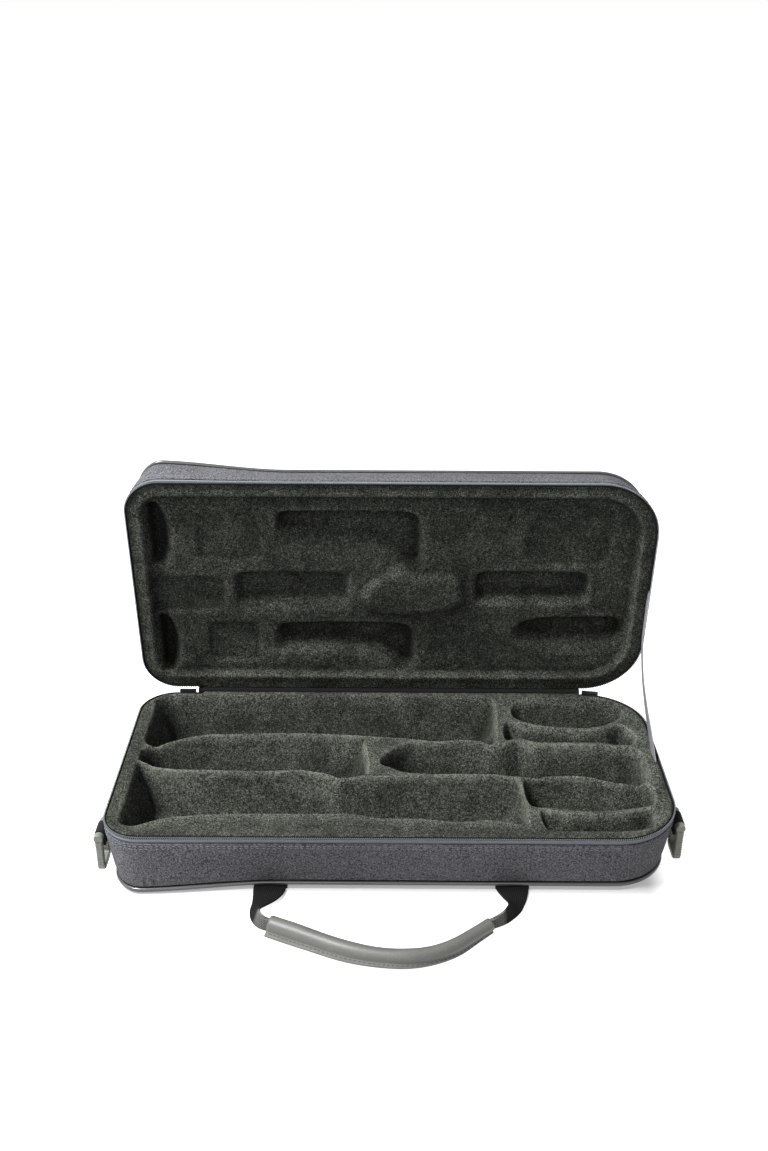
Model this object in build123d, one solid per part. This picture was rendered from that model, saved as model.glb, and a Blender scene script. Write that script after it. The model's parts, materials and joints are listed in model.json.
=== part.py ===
from build123d import *
import math
import os

# A soft-sided double clarinet case, open, with its carrying handle lying in front of it.
# Millimetres. The origin is the middle of the flat bottom, +X runs along the case away from
# the bell ends of its pockets, +Y runs back to the hinge and +Z is up.

# ------------------------------------------------------------------ the case as a whole
case_length = 430.0        # over the rim, end to end
case_width = 204.0         # over the rim, front to hinge
rim_height = 51.5          # floor to the rim of the base
lid_height = 38.0          # rim of the lid to its flat top
panel_thickness = 4.5      # padded bottom and top panels, up to their piped seams
panel_slope = 6.0          # edge of a panel's flat face, in from its seam
wall_lean = 8.0            # how far each wall leans in between its rim and its seam
left_corner = 30.0         # rim corner radius at the bell end
right_corner = 50.0        # rim corner radius at the other end
open_angle = 82.7          # lid turned back from closed, as it stands open
closed_gap = 2.0           # rim to rim when closed, filled by the two meshed coils

# ------------------------------------------------------------------ layers of the wall
cover_thickness = 1.2      # outer canvas
shell_thickness = 3.5      # stiff moulded tray
shell_floor = 3.0          # the tray's flat plate
layer_gap = 0.1            # between one layer and the next
foam_gap = 0.3             # moulded foam to the tray
shell_drop = 1.5           # top of the tray below the rim
lip_thickness = 1.2        # plush turned over the tray's top edge
lip_gap = 0.2              # top of the turned plush below the rim

# ------------------------------------------------------------------ piping and zipper
piping_diameter = 3.6
piping_clear = 0.15
coil_height = 3.9
coil_thickness = 1.8
coil_inset = 0.2
tape_height = 5.4
tape_thickness = 1.0
tape_inset = 0.4
zip_past_left = 17.0       # how far the zipper runs on along the hinge side, past the corner
zip_past_right = 1.0

# ------------------------------------------------------------------ hinge fabric
hinge_offset = 1.0         # fold line behind the rim
hinge_thickness = 1.0
hinge_flap = 8.5           # height sewn to each wall
hinge_clear = 0.3

# ------------------------------------------------------------------ moulded foam inserts
foam_floor = 3.2           # foam under the pockets
ridge_drop = 4.0           # ridges between pockets below the rim
ridge_border = 12.0        # full-height foam around the ridges
pocket_lean = 8.0          # degrees that pocket sides lean in
pocket_corner = 6.0
small_corner = 3.0
small_pocket_depth = 25.5  # mouthpiece, barrel and spare pockets
pocket_margin = 8.5        # rim of the case to the nearest pocket
bell_diameter = 79.5
bell_wall = 12.0           # rim of the case to the bells' flat ends
foam_split = -14.0         # the insert is glued up from two halves, meeting here

lid_field = 8.0            # moulded face of the lid below its rim
lid_recess = 12.0          # depth of the recesses in that face
lid_border = 13.0          # raised border round the face
lid_row_rear = 76.0        # the face is glued up from three strips; hinge side to the joins
lid_row_front = 118.0

# ------------------------------------------------------------------ lid stay
stay_width = 12.0
stay_thickness = 1.0
stay_reach = 103.0         # from the hinge line to each end
stay_inset = 5.0           # from the outside of the rim
stay_sag = 9.0
stay_clear = 0.3

# ------------------------------------------------------------------ strap rings
ring_length = 24.0         # along the wall
ring_drop = 30.0           # pivot to the lowest edge
ring_bar = 4.5             # diameter of the pivot bar
ring_thickness = 5.5
ring_leg = 5.0
ring_barrel = 7.0          # diameter of the thick ends of the pivot bar
ring_fit = 0.08            # pivot bar inside its webbing loop
ring_pivot_height = 38.0
ring_back_left = 26.0      # front of the rim to the middle of each ring
ring_back_right = 42.0
tab_width = 13.0
tab_webbing = 1.6
tab_foot = 9.0             # webbing sewn to the wall below the pivot

# ------------------------------------------------------------------ carrying handle
webbing_width = 25.0
webbing_thickness = 2.0
webbing_spread = 90.0      # middle of the case to the middle of each webbing
webbing_floor_gap = 0.3
anchor_length = 18.0       # webbing sewn in under the front seam
fold_gap = 1.0             # fold line of the webbings in front of the piping
handle_clear = 0.3
half_way_out = 24.0        # fold line to where a webbing has half turned on edge
half_way_lift = 6.0
half_way_turn = 40.0       # degrees
half_way_width = 18.0      # the webbing gathers as it turns
half_way_thickness = 2.4
gathered_width = 10.0      # at the grip
gathered_thickness = 3.2
plug_length = 6.0          # round end of a webbing that meets the grip's rod
grip_diameter = 12.6
grip_core = 7.0
grip_fit = 0.1
grip_flange = 4.5          # stitched edge of the grip's cover
flange_thickness = 2.0
# The grip's middle line on the floor: along the case, and out from the webbings' fold line.
grip_route = [(-86.0, 44.2), (-22.0, 71.2), (30.0, 73.2), (70.0, 42.2)]
grip_radii = [110.0, 58.0]

# ------------------------------------------------------------------ zipper sliders
slider_length = 14.0
slider_plate = 1.6
slider_height = 7.0
slider_fit = 0.6           # plate to the coil
slider_lip = 0.7
slider_from_end = 9.0      # end of the zipper to the middle of its slider
ear_thickness = 1.2
ear_gap = 4.4
pull_pin = 1.6
pull_fit = 0.08
pull_length = 22.0
pull_width = 5.0
pull_thickness = 1.4
pull_head = 3.2            # diameter of the pull's eye
pull_neck = 3.8            # pin to the pull's wide tab
pull_side_gap = 0.3        # eye to each ear
pull_pin_drop = 5.0        # pin below the rim
pull_standoff = 1.7        # pin in front of the slider's plate

# ------------------------------------------------------------------ derived places
base_rim = rim_height
base_seam = panel_thickness
lid_rim = rim_height + closed_gap
lid_top = lid_rim + lid_height
lid_seam = lid_top - panel_thickness
hinge_y = case_width / 2 + hinge_offset
hinge_z = rim_height + closed_gap / 2
hinge_line = Axis((0, hinge_y, hinge_z), (1, 0, 0))
BASE = (base_rim, base_seam)
LID = (lid_rim, lid_seam)
zip_end_left = -(case_length / 2 - left_corner - zip_past_left)
zip_end_right = case_length / 2 - right_corner - zip_past_right
tray_skin = cover_thickness + layer_gap                     # rim's outside to the tray
foam_skin = tray_skin + shell_thickness + foam_gap          # rim's outside to the foam
foam_low = base_seam + layer_gap + shell_floor + foam_gap   # under the base insert
pocket_floor = foam_low + foam_floor
pocket_mouth = rim_height - ridge_drop
lid_face = lid_rim + lid_field
lid_recess_top = lid_face + lid_recess


def lean_at(half, z):
    """How far the wall of a half has leaned in at height z."""
    rim, seam = half
    return wall_lean * (z - rim) / (seam - rim)


def outline(inset, z):
    """The case's plan at height z, drawn in by inset from the rim's outer edge."""
    x = case_length / 2 - inset
    y = case_width / 2 - inset
    left = left_corner - inset
    right = right_corner - inset
    edge = FilletPolyline((-x, -y), (x, -y), (x, y), (-x, y), radius=[left, right, right, left],
                          close=True)
    return Pos(0, 0, z) * make_face(edge)


def block(half, inset, z_a, z_b):
    """The solid inside the leaning wall, inset from its outside, between two heights."""
    low, high = sorted((z_a, z_b))
    faces = [outline(inset + lean_at(half, z), z).face() for z in (low, high)]
    return Solid.make_loft([f.outer_wire() for f in faces], True)


def wall(half, inset, thickness, z_a, z_b):
    """A band of the leaning wall between two heights."""
    return block(half, inset, z_a, z_b) - block(half, inset + thickness, z_a, z_b)


def opened(shape):
    """Turn a piece of the closed lid back to where the lid stands open."""
    return shape.rotate(hinge_line, -open_angle)


def slab(x_a, x_b, y_a, y_b, z_a, z_b):
    """A box from two values on each axis."""
    size = (abs(x_b - x_a), abs(y_b - y_a), abs(z_b - z_a))
    middle = ((x_a + x_b) / 2, (y_a + y_b) / 2, (z_a + z_b) / 2)
    return Pos(*middle) * Box(*size)


def rounding(points, corner):
    """Corner radii of a closed outline, smaller where its sides are short."""
    radii = []
    for before, here, after in zip(points[-1:] + points[:-1], points, points[1:] + points[:1]):
        coming = Vector(*here) - Vector(*before)
        leaving = Vector(*after) - Vector(*here)
        turn = math.radians(coming.get_angle(leaving))
        room = 0.45 * min(coming.length, leaving.length) / math.tan(turn / 2)
        radii.append(min(corner, room))
    return radii


def pocket(points, corner, mouth, depth):
    """A hollow with leaning sides: its mouth's outline, and its depth (negative upwards)."""
    turned = sum(a[0] * b[1] - b[0] * a[1] for a, b in zip(points, points[1:] + points[:1]))
    if turned < 0:
        points = points[::-1]
    face = make_face(FilletPolyline(*points, radius=rounding(points, corner), close=True))
    return extrude(Pos(0, 0, mouth) * face, amount=-depth, taper=pocket_lean)


# ================================================================== outer shells
def padded_panel(half, outer_z):
    """Canvas over padding, flat outside and sloping up to its piped seam."""
    seam = half[1]
    flat = outline(wall_lean + panel_slope, outer_z).face()
    edge = outline(wall_lean, seam).face()
    wires = [flat.outer_wire(), edge.outer_wire()]
    if outer_z > seam:
        wires.reverse()
    panel = Solid.make_loft(wires, True)
    return panel - piping(half, piping_diameter + 2 * piping_clear)


def piping(half, diameter):
    """Round cord along the seam between wall and panel."""
    seam = half[1]
    path = outline(wall_lean, seam).face().outer_wire()
    start = path @ 0
    profile = Plane(origin=start, z_dir=path % 0) * Circle(diameter / 2)
    return sweep(profile, path=path)


def side_cover(half):
    """Canvas band from the seam to the zipper tape."""
    rim, seam = half
    way = 1 if rim > seam else -1
    top = rim - way * (coil_height + tape_height + 2 * layer_gap)
    band = wall(half, 0, cover_thickness, seam, top)
    return band - piping(half, piping_diameter + 2 * piping_clear)


def stiff_tray(half):
    """Stiff moulded tray: a flat plate with leaning walls."""
    rim, seam = half
    way = 1 if rim > seam else -1
    top = rim - way * shell_drop
    foot = seam + way * layer_gap
    inner_foot = foot + way * shell_floor
    hollow = block(half, tray_skin + shell_thickness, inner_foot, top)
    tray = block(half, tray_skin, foot, top) - hollow
    return tray - piping(half, piping_diameter + 2 * piping_clear)


def zip_gap():
    """The stretch of the hinge side that has no zipper."""
    return slab(zip_end_left, zip_end_right, 0, case_width, 0, lid_top)


def zipper_tape(half):
    """Woven tape below the coil, round the front, both ends and the rear corners."""
    rim, seam = half
    way = 1 if rim > seam else -1
    top = rim - way * (coil_height + layer_gap)
    band = wall(half, tape_inset, tape_thickness - layer_gap, top - way * tape_height, top)
    return band - zip_gap()


def zipper_coil(half):
    """The zipper's row of teeth, standing at the edge of the rim."""
    rim, seam = half
    way = 1 if rim > seam else -1
    band = wall(half, coil_inset, coil_thickness, rim - way * coil_height, rim)
    tray = block(half, cover_thickness, rim - way * shell_drop, seam)
    return band - zip_gap() - tray


# ================================================================== base insert
def base_pockets():
    """The hollows of the moulded insert, as drawn on its top face."""
    end = case_length / 2 - bell_wall
    bell = bell_diameter / 2
    front_bell = -43.0
    rear_bell = 59.0

    def place(points):
        """Points given by how far they lie from the nearer end, '-' end or '+' end."""
        return [(d - end if side == "-" else end - d, y) for side, d, y in points]

    front_row = place([("-", 0, front_bell + bell), ("-", 0, front_bell - bell),
                       ("-", 16, front_bell - bell), ("-", 43, -70), ("-", 103, -67),
                       ("+", 183, -71), ("+", 103, -77), ("+", 103, -22), ("-", 167, -22),
                       ("-", 145, -14), ("-", 38, -12)])
    rear_row = place([("-", 0, rear_bell + 35), ("-", 0, rear_bell - bell + 4),
                      ("-", 17, rear_bell - bell + 4), ("-", 53, 41), ("-", 127, 43),
                      ("+", 183, 35), ("+", 117, 30), ("+", 117, 92), ("-", 33, 94)])
    middle_left = place([("-", 6, 18), ("-", 6, 4), ("-", 38, -9), ("-", 141, -11),
                         ("-", 163, -18), ("-", 183, -18), ("-", 183, 34), ("-", 127, 38),
                         ("-", 63, 36)])
    middle_right = place([("+", 212, 8), ("+", 212, -6), ("+", 191, -12), ("+", 83, -14),
                          ("+", 38, -20), ("+", 5, -20), ("+", 5, 22), ("+", 53, 25),
                          ("+", 103, 27), ("+", 173, 28)])
    barrel = place([("+", 99, -25), ("+", 99, -55), ("+", 73, -60), ("+", 27, -59),
                    ("+", 4, -52), ("+", 4, -26), ("+", 43, -23)])
    front_small = place([("+", 89, -64), ("+", 89, -85), ("+", 53, -87), ("+", 23, -84),
                         ("+", 7, -64), ("+", 53, -67)])
    boat = place([("+", 97, 66), ("+", 73, 56), ("+", 27, 56), ("+", 9, 66), ("+", 11, 84),
                  ("+", 43, 93), ("+", 96, 93)])
    narrow = place([("+", 107, 52), ("+", 100, 37), ("+", 83, 31), ("+", 9, 27), ("+", 4, 44),
                    ("+", 23, 49), ("+", 47, 47), ("+", 83, 53)])
    rows = [front_row, rear_row, middle_left, middle_right]
    small = [barrel, front_small, boat, narrow]
    depth = pocket_mouth - pocket_floor
    hollows = [pocket(p, pocket_corner, pocket_mouth, depth) for p in rows]
    hollows += [pocket(p, small_corner, pocket_mouth, small_pocket_depth) for p in small]
    inside = block(BASE, pocket_margin, pocket_floor, pocket_mouth)
    return [hollow & inside for hollow in hollows]


def base_foam():
    """Insert above its floor: border, ridges between the pockets and cross walls."""
    foam = block(BASE, foam_skin, pocket_floor, rim_height - shell_drop - layer_gap)
    foam -= block(BASE, ridge_border, pocket_mouth, rim_height)
    for hollow in base_pockets():
        foam -= hollow
    return foam


def base_foam_floor():
    """Foam plate under the pockets."""
    return block(BASE, foam_skin, foam_low, pocket_floor)


def plush_lip(half, reach):
    """Plush turned out over the top edge of the tray."""
    rim, seam = half
    way = 1 if rim > seam else -1
    top = rim - way * lip_gap
    skin = coil_inset + coil_thickness + layer_gap
    return wall(half, skin, reach - skin, top - way * lip_thickness, top)


# ================================================================== lid insert
def lid_hollows():
    """Recesses of the lid's moulded face; the distance back from the hinge gives y."""
    rear = case_width / 2
    end = case_length / 2 - lid_border

    def place(points):
        """Points given by how far they lie from one end and from the hinge side."""
        return [(d - end if side == "-" else end - d, rear - s) for side, d, s in points]

    bell_slot_rear = place([("-", 5, 15), ("-", 21, 15), ("-", 21, 72), ("-", 5, 72)])
    bell_slot_front = place([("-", 5, 122), ("-", 21, 122), ("-", 21, 181), ("-", 5, 181)])
    keys_front = place([("-", 109, 147), ("-", 160, 147), ("-", 192, 140), ("-", 208, 124),
                        ("-", 224, 124), ("-", 224, 171), ("-", 109, 171)])
    keys_rear = place([("-", 106, 40), ("-", 162, 40), ("-", 190, 32), ("-", 204, 17),
                       ("-", 222, 17), ("-", 222, 62), ("-", 106, 62)])
    middle_left = place([("-", 72, 84), ("-", 166, 84), ("-", 166, 113), ("-", 72, 113)])
    middle_right = place([("+", 132, 88), ("+", 38, 88), ("+", 38, 114), ("+", 132, 114)])
    boat = place([("+", 98, 62), ("+", 92, 50), ("+", 72, 43), ("+", 8, 43), ("+", 8, 70),
                  ("+", 76, 70)])
    outlines = [bell_slot_rear, bell_slot_front, keys_front, keys_rear, middle_left,
                middle_right, boat]
    return [pocket(p, small_corner, lid_face, -lid_recess) for p in outlines]


def lid_foam_face():
    """Moulded face of the lid, cut through by its recesses."""
    face = block(LID, foam_skin, lid_face, lid_recess_top)
    for hollow in lid_hollows():
        face -= hollow
    return face


def lid_foam_back():
    """Foam plate behind the recesses."""
    return block(LID, foam_skin, lid_recess_top, lid_seam - layer_gap - shell_floor - foam_gap)


def lid_foam_border():
    """Raised border round the moulded face."""
    rim_side = lid_rim + shell_drop + layer_gap
    return wall(LID, foam_skin, lid_border - foam_skin, rim_side, lid_face)


# ================================================================== hinge fabric and stay
def hinge_flap_base():
    """Lower half of the fabric hinge, sewn down the back of the base."""
    front = case_width / 2 + hinge_clear
    return slab(zip_end_left, zip_end_right, front, front + hinge_thickness,
                rim_height - hinge_flap, rim_height + layer_gap)


def hinge_flap_lid():
    """Upper half of the fabric hinge, sewn up the back of the lid, closed."""
    front = case_width / 2 + hinge_clear
    return slab(zip_end_left, zip_end_right, front, front + hinge_thickness,
                lid_rim - layer_gap, lid_rim + hinge_flap)


def lid_stay():
    """Flat tape from the top of the base's end wall to the lid's, hanging slightly slack."""
    turn = math.radians(open_angle)
    foot = (hinge_y - stay_reach, rim_height)
    head = (hinge_y - stay_reach * math.cos(turn), hinge_z + stay_reach * math.sin(turn))
    chord = (head[0] - foot[0], head[1] - foot[1])
    span = math.hypot(*chord)
    middle = ((foot[0] + head[0]) / 2 + stay_sag * chord[1] / span,
              (foot[1] + head[1]) / 2 - stay_sag * chord[0] / span)
    route = ThreePointArc((foot[0], foot[1]), middle, (head[0], head[1]))
    band = trace(route, line_width=stay_width)
    end_wall = case_length / 2 - stay_inset
    upright = Plane(origin=(end_wall, 0, 0), x_dir=(0, 1, 0), z_dir=(1, 0, 0))
    tape = extrude(upright * band, amount=-stay_thickness)
    far = case_length
    below_base_rim = slab(-far, far, -far, far, -far, rim_height + stay_clear)
    above_lid_rim = slab(-far, far, -far, far, lid_rim - stay_clear, far)
    return tape - below_base_rim - opened(above_lid_rim)


# ================================================================== strap rings
def wall_x(z):
    """Outside of the base's end walls at height z."""
    return case_length / 2 - lean_at(BASE, z)


def ring_pivot_x():
    """Middle of the ring's pivot bar, out from the middle of the case."""
    return wall_x(ring_pivot_height) + layer_gap + tab_webbing + ring_fit + ring_bar / 2


def ring_y(side):
    return -case_width / 2 + (ring_back_left if side < 0 else ring_back_right)


def strap_ring(side):
    """Moulded ring that hangs from its webbing tab by a bar with thick ends."""
    y = ring_y(side)
    x = side * ring_pivot_x()
    along = Rot(90, 0, 0)
    bar = Pos(x, y, ring_pivot_height) * along * Cylinder(ring_bar / 2, ring_length)
    ends = ring_length / 2 - ring_leg / 2
    ring = bar
    for end in (-1, 1):
        place = Pos(x, y + end * ends, ring_pivot_height)
        ring += place * along * Cylinder(ring_barrel / 2, ring_leg)
    legs = slab(x - ring_thickness / 2, x + ring_thickness / 2, y - ring_length / 2,
                y + ring_length / 2, ring_pivot_height - ring_drop, ring_pivot_height)
    legs = fillet(legs.edges().filter_by(Axis.X).group_by(Axis.Z)[0], ring_leg)
    window = slab(x - ring_barrel, x + ring_barrel, y - ring_length / 2 + ring_leg,
                  y + ring_length / 2 - ring_leg, ring_pivot_height - ring_drop + ring_leg,
                  ring_pivot_height)
    return ring + (legs - window)


def ring_tab(side):
    """Webbing folded round the ring's bar and sewn to the end wall."""
    y = ring_y(side)
    x = ring_pivot_x()
    bore = ring_bar / 2 + ring_fit
    loop = Circle(bore + tab_webbing)
    foot_face = wall_x(ring_pivot_height) + layer_gap
    foot = Pos(foot_face + tab_webbing / 2 - x, -tab_foot / 2) * Rectangle(tab_webbing, tab_foot)
    profile = loop + foot - Circle(bore)
    upright = Plane(origin=(x, y, ring_pivot_height), x_dir=(1, 0, 0), z_dir=(0, -1, 0))
    tab = extrude(upright * profile, amount=tab_width / 2, both=True)
    if side < 0:
        tab = mirror(tab, Plane.YZ)
    return tab


# ================================================================== carrying handle
def front_seam_y():
    """Front edge of the bottom panel."""
    return -case_width / 2 + wall_lean


def handle_axis_y():
    """Line about which the webbing folds, in front of the piping."""
    return front_seam_y() - piping_diameter / 2 - fold_gap


def handle_axis_z():
    return webbing_floor_gap + webbing_thickness / 2


def handle_anchor(side):
    """Webbing sewn in under the front seam."""
    front = handle_axis_y() + webbing_thickness / 2 + handle_clear
    x = side * webbing_spread
    return slab(x - webbing_width / 2, x + webbing_width / 2, front, front + anchor_length,
                webbing_floor_gap, webbing_floor_gap + webbing_thickness)


def handle_tail(side):
    """Webbing from the seam, turning on edge as it reaches the end of the grip."""
    x = side * webbing_spread
    y = handle_axis_y()
    z = handle_axis_z()
    line = grip_line()
    entry, along = (line @ 0, line % 0 * -1) if side < 0 else (line @ 1, line % 1)
    bend = entry + along * (layer_gap + plug_length)
    turn = math.radians(half_way_turn)
    knuckle = Pos(x, y, z) * Rot(0, 90, 0) * Cylinder(webbing_thickness / 2, webbing_width)
    flat = Plane(origin=(x, y, z), x_dir=(1, 0, 0), z_dir=(0, -1, 0))
    half_way = Plane(origin=(x, y - half_way_out, z + half_way_lift),
                     x_dir=(math.cos(turn), 0, -side * math.sin(turn)), z_dir=(0, -1, 0))
    on_edge = Plane(origin=bend, x_dir=(0, 0, -side), z_dir=-along)
    first = flat * Rectangle(webbing_width, webbing_thickness)
    second = half_way * Rectangle(half_way_width, half_way_thickness)
    third = on_edge * Rectangle(gathered_width, gathered_thickness)
    strap = Solid.make_loft([f.face().outer_wire() for f in (first, second, third)], True)
    neck = Plane(origin=bend, z_dir=-along) * Circle(grip_core / 2)
    plug = extrude(neck, amount=plug_length)
    return strap + knuckle + plug


def grip_line():
    """Middle line of the grip, resting on the floor."""
    points = [(x, handle_axis_y() - out, grip_diameter / 2) for x, out in grip_route]
    return FilletPolyline(*points, radius=grip_radii)


def grip_section(line):
    """Frame across the grip's first end, its x axis pointing out of the curve."""
    return Plane(origin=line @ 0, x_dir=(0, 0, 1), z_dir=line % 0)


def handle_core():
    """Round filler rod inside the grip."""
    line = grip_line()
    return sweep(grip_section(line) * Circle(grip_core / 2), path=line)


def handle_cover():
    """Leatherette folded round the rod and stitched along its outer edge."""
    line = grip_line()
    frame = grip_section(line)
    tube = Circle(grip_diameter / 2)
    reach = grip_diameter / 2 + grip_flange
    edge = Pos(0, reach / 2) * Rectangle(flange_thickness, reach)
    profile = tube + edge - Circle(grip_core / 2 + grip_fit)
    return sweep(frame * profile, path=line)


# ================================================================== zipper sliders
def slider_place(side):
    """Frame of a slider: x along the zipper, y out of the wall, at the rim."""
    end, corner = (-zip_end_left, left_corner) if side < 0 else (zip_end_right, right_corner)
    out = end + slider_from_end
    past = max(0.0, out - (case_length / 2 - corner))
    turn = math.asin(past / corner)
    y = case_width / 2 - corner * (1 - math.cos(turn))
    return Pos(side * out, y, rim_height) * Rot(0, 0, -side * math.degrees(turn))


def zip_slider(side):
    """Slider body over the coil, with two ears that hold the pull's pin."""
    plate = slab(-slider_length / 2, slider_length / 2, slider_fit, slider_fit + slider_plate,
                 -slider_height, slider_fit + slider_lip)
    lip = slab(-slider_length / 2, slider_length / 2, -coil_thickness, slider_fit,
               slider_fit / 2, slider_fit / 2 + slider_lip)
    body = plate + lip
    pin_y = slider_fit + slider_plate + pull_standoff
    for end in (-1, 1):
        ear_x = end * (ear_gap + ear_thickness) / 2
        ear = Pos(ear_x, pin_y - pull_standoff / 2, -pull_pin_drop) * Box(
            ear_thickness, pull_standoff, pull_pin * 2)
        round_end = Pos(ear_x, pin_y, -pull_pin_drop) * Rot(0, 90, 0) * Cylinder(
            pull_pin, ear_thickness)
        body += ear + round_end
    pin = Pos(0, pin_y, -pull_pin_drop) * Rot(0, 90, 0) * Cylinder(
        pull_pin / 2, ear_gap + ear_thickness)
    return slider_place(side) * (body + pin)


def zip_pull(side):
    """Flat tab hanging from the slider's pin."""
    pin_y = slider_fit + slider_plate + pull_standoff
    head_width = ear_gap - 2 * pull_side_gap
    head = Rot(0, 90, 0) * Cylinder(pull_head / 2, head_width)
    neck = slab(-head_width / 2, head_width / 2, -pull_thickness / 2, pull_thickness / 2,
                -pull_neck, 0)
    end = Pos(0, 0, pull_width / 2 - pull_length) * Rot(90, 0, 0) * Cylinder(
        pull_width / 2, pull_thickness)
    tab = end + slab(-pull_width / 2, pull_width / 2, -pull_thickness / 2, pull_thickness / 2,
                     pull_width / 2 - pull_length, -pull_neck)
    bore = Rot(0, 90, 0) * Cylinder(pull_pin / 2 + pull_fit, pull_width * 2)
    pull = head + neck + tab - bore
    return slider_place(side) * Pos(0, pin_y, -pull_pin_drop) * pull


# ================================================================== all pieces
def panel_with_notches():
    """Bottom panel, let in for the two handle webbings."""
    panel = padded_panel(BASE, 0.0)
    for side in (-1, 1):
        panel -= handle_anchor(side)
    return panel


def pieces():
    """Every piece by name, as the case stands open."""
    foam = base_foam()
    far = case_length
    bell_half = slab(-far, foam_split, -far, far, -far, far)
    barrel_half = slab(foam_split, far, -far, far, -far, far)
    face = lid_foam_face()
    rear_join = case_width / 2 - lid_row_rear
    front_join = case_width / 2 - lid_row_front
    rear_row = slab(-far, far, rear_join, far, 0, far)
    middle_row = slab(-far, far, front_join, rear_join, 0, far)
    front_row = slab(-far, far, -far, front_join, 0, far)
    base = {
        "base_bottom_panel": panel_with_notches(),
        "base_piping": piping(BASE, piping_diameter),
        "base_side_cover": side_cover(BASE),
        "base_tray": stiff_tray(BASE),
        "base_zipper_tape": zipper_tape(BASE),
        "base_zipper_coil": zipper_coil(BASE),
        "base_foam_floor": base_foam_floor(),
        "base_foam_bell_half": foam & bell_half,
        "base_foam_barrel_half": foam & barrel_half,
        "base_plush_lip": plush_lip(BASE, ridge_border),
        "hinge_fabric_base": hinge_flap_base(),
        "ring_tab_left": ring_tab(-1),
        "ring_tab_right": ring_tab(1),
        "strap_ring_left": strap_ring(-1),
        "strap_ring_right": strap_ring(1),
        "handle_anchor_left": handle_anchor(-1),
        "handle_anchor_right": handle_anchor(1),
        "handle_webbing_left": handle_tail(-1),
        "handle_webbing_right": handle_tail(1),
        "handle_core": handle_core(),
        "handle_cover": handle_cover(),
        "zip_slider_left": zip_slider(-1),
        "zip_slider_right": zip_slider(1),
        "zip_pull_left": zip_pull(-1),
        "zip_pull_right": zip_pull(1),
        "lid_stay": lid_stay(),
    }
    lid = {
        "lid_top_panel": padded_panel(LID, lid_top),
        "lid_piping": piping(LID, piping_diameter),
        "lid_side_cover": side_cover(LID),
        "lid_tray": stiff_tray(LID),
        "lid_zipper_tape": zipper_tape(LID),
        "lid_zipper_coil": zipper_coil(LID),
        "lid_foam_back": lid_foam_back(),
        "lid_foam_rear_row": face & rear_row,
        "lid_foam_middle_row": face & middle_row,
        "lid_foam_front_row": face & front_row,
        "lid_foam_border": lid_foam_border(),
        "lid_plush_lip": plush_lip(LID, lid_border),
        "hinge_fabric_lid": hinge_flap_lid(),
    }
    for name, shape in lid.items():
        base[name] = opened(shape)
    return base


os.makedirs("parts", exist_ok=True)
for name, shape in pieces().items():
    export_step(shape, f"parts/{name}.step")
    print(name, round(shape.volume / 1000, 2), "cm3")
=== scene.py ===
import json
import math

import bpy
import numpy as np
from mathutils import Matrix, Vector


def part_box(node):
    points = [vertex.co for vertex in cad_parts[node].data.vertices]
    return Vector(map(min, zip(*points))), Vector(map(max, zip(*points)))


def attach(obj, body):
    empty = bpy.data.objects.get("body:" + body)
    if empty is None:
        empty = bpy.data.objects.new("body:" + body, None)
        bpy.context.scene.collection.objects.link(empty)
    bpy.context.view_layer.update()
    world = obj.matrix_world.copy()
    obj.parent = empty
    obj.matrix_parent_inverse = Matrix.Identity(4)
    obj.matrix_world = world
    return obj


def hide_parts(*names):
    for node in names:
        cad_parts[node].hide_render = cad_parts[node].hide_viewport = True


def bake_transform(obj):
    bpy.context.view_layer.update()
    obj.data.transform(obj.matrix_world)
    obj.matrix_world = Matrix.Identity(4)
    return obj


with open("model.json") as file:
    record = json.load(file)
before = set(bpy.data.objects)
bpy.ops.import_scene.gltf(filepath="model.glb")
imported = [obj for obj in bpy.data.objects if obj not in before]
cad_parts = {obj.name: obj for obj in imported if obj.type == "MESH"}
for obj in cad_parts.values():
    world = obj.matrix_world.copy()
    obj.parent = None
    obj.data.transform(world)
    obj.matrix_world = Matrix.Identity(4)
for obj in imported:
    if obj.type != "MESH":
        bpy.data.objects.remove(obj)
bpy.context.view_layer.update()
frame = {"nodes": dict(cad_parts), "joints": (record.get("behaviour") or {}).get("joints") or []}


# ---------------------------------------------------------------- studio
# The camera looks down on the open case from the front. One big soft lamp hangs over it
# to the left and two weak ones fill in; gloss and glass see the same white as the camera.
eye = Vector((-0.0068, -0.8184, 0.6063))
aim = Vector((-0.0068, 0.0, 0.2133))
camera_roll = 0.0054
lens = 38.37
film_width = 36.0
far_clip = 30.0
lamps_face = Vector((0, 0, 0.08))
sky_level = 0.13
white_rays = ("Is Camera Ray", "Is Glossy Ray", "Is Transmission Ray")

camera_data = bpy.data.cameras.new("camera")
camera_data.lens = lens
camera_data.sensor_width = film_width
camera_data.clip_end = far_clip
camera = bpy.data.objects.new("camera", camera_data)
bpy.context.scene.collection.objects.link(camera)
aimed = (aim - eye).to_track_quat("-Z", "Y").to_matrix().to_4x4()
camera.matrix_world = Matrix.Translation(eye) @ aimed @ Matrix.Rotation(camera_roll, 4, "Z")
bpy.context.scene.camera = camera
bpy.context.scene.view_settings.view_transform = "Standard"


def hang_lamp(name, place, size, watts):
    lamp = bpy.data.lights.new(name, "AREA")
    lamp.shape = "RECTANGLE"
    lamp.size, lamp.size_y = size
    lamp.energy = watts
    hung = bpy.data.objects.new(name, lamp)
    bpy.context.scene.collection.objects.link(hung)
    hung.location = place
    hung.rotation_euler = (lamps_face - Vector(place)).to_track_quat("-Z", "Y").to_euler()


hang_lamp("lamp_over", (-0.92, -0.28, 1.72), (0.65, 0.5), 74.0)
hang_lamp("lamp_front", (-0.2, -1.6, 1.1), (1.0, 0.7), 9.0)
hang_lamp("lamp_left", (-1.7, -0.4, 0.6), (0.7, 0.7), 5.0)


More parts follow.
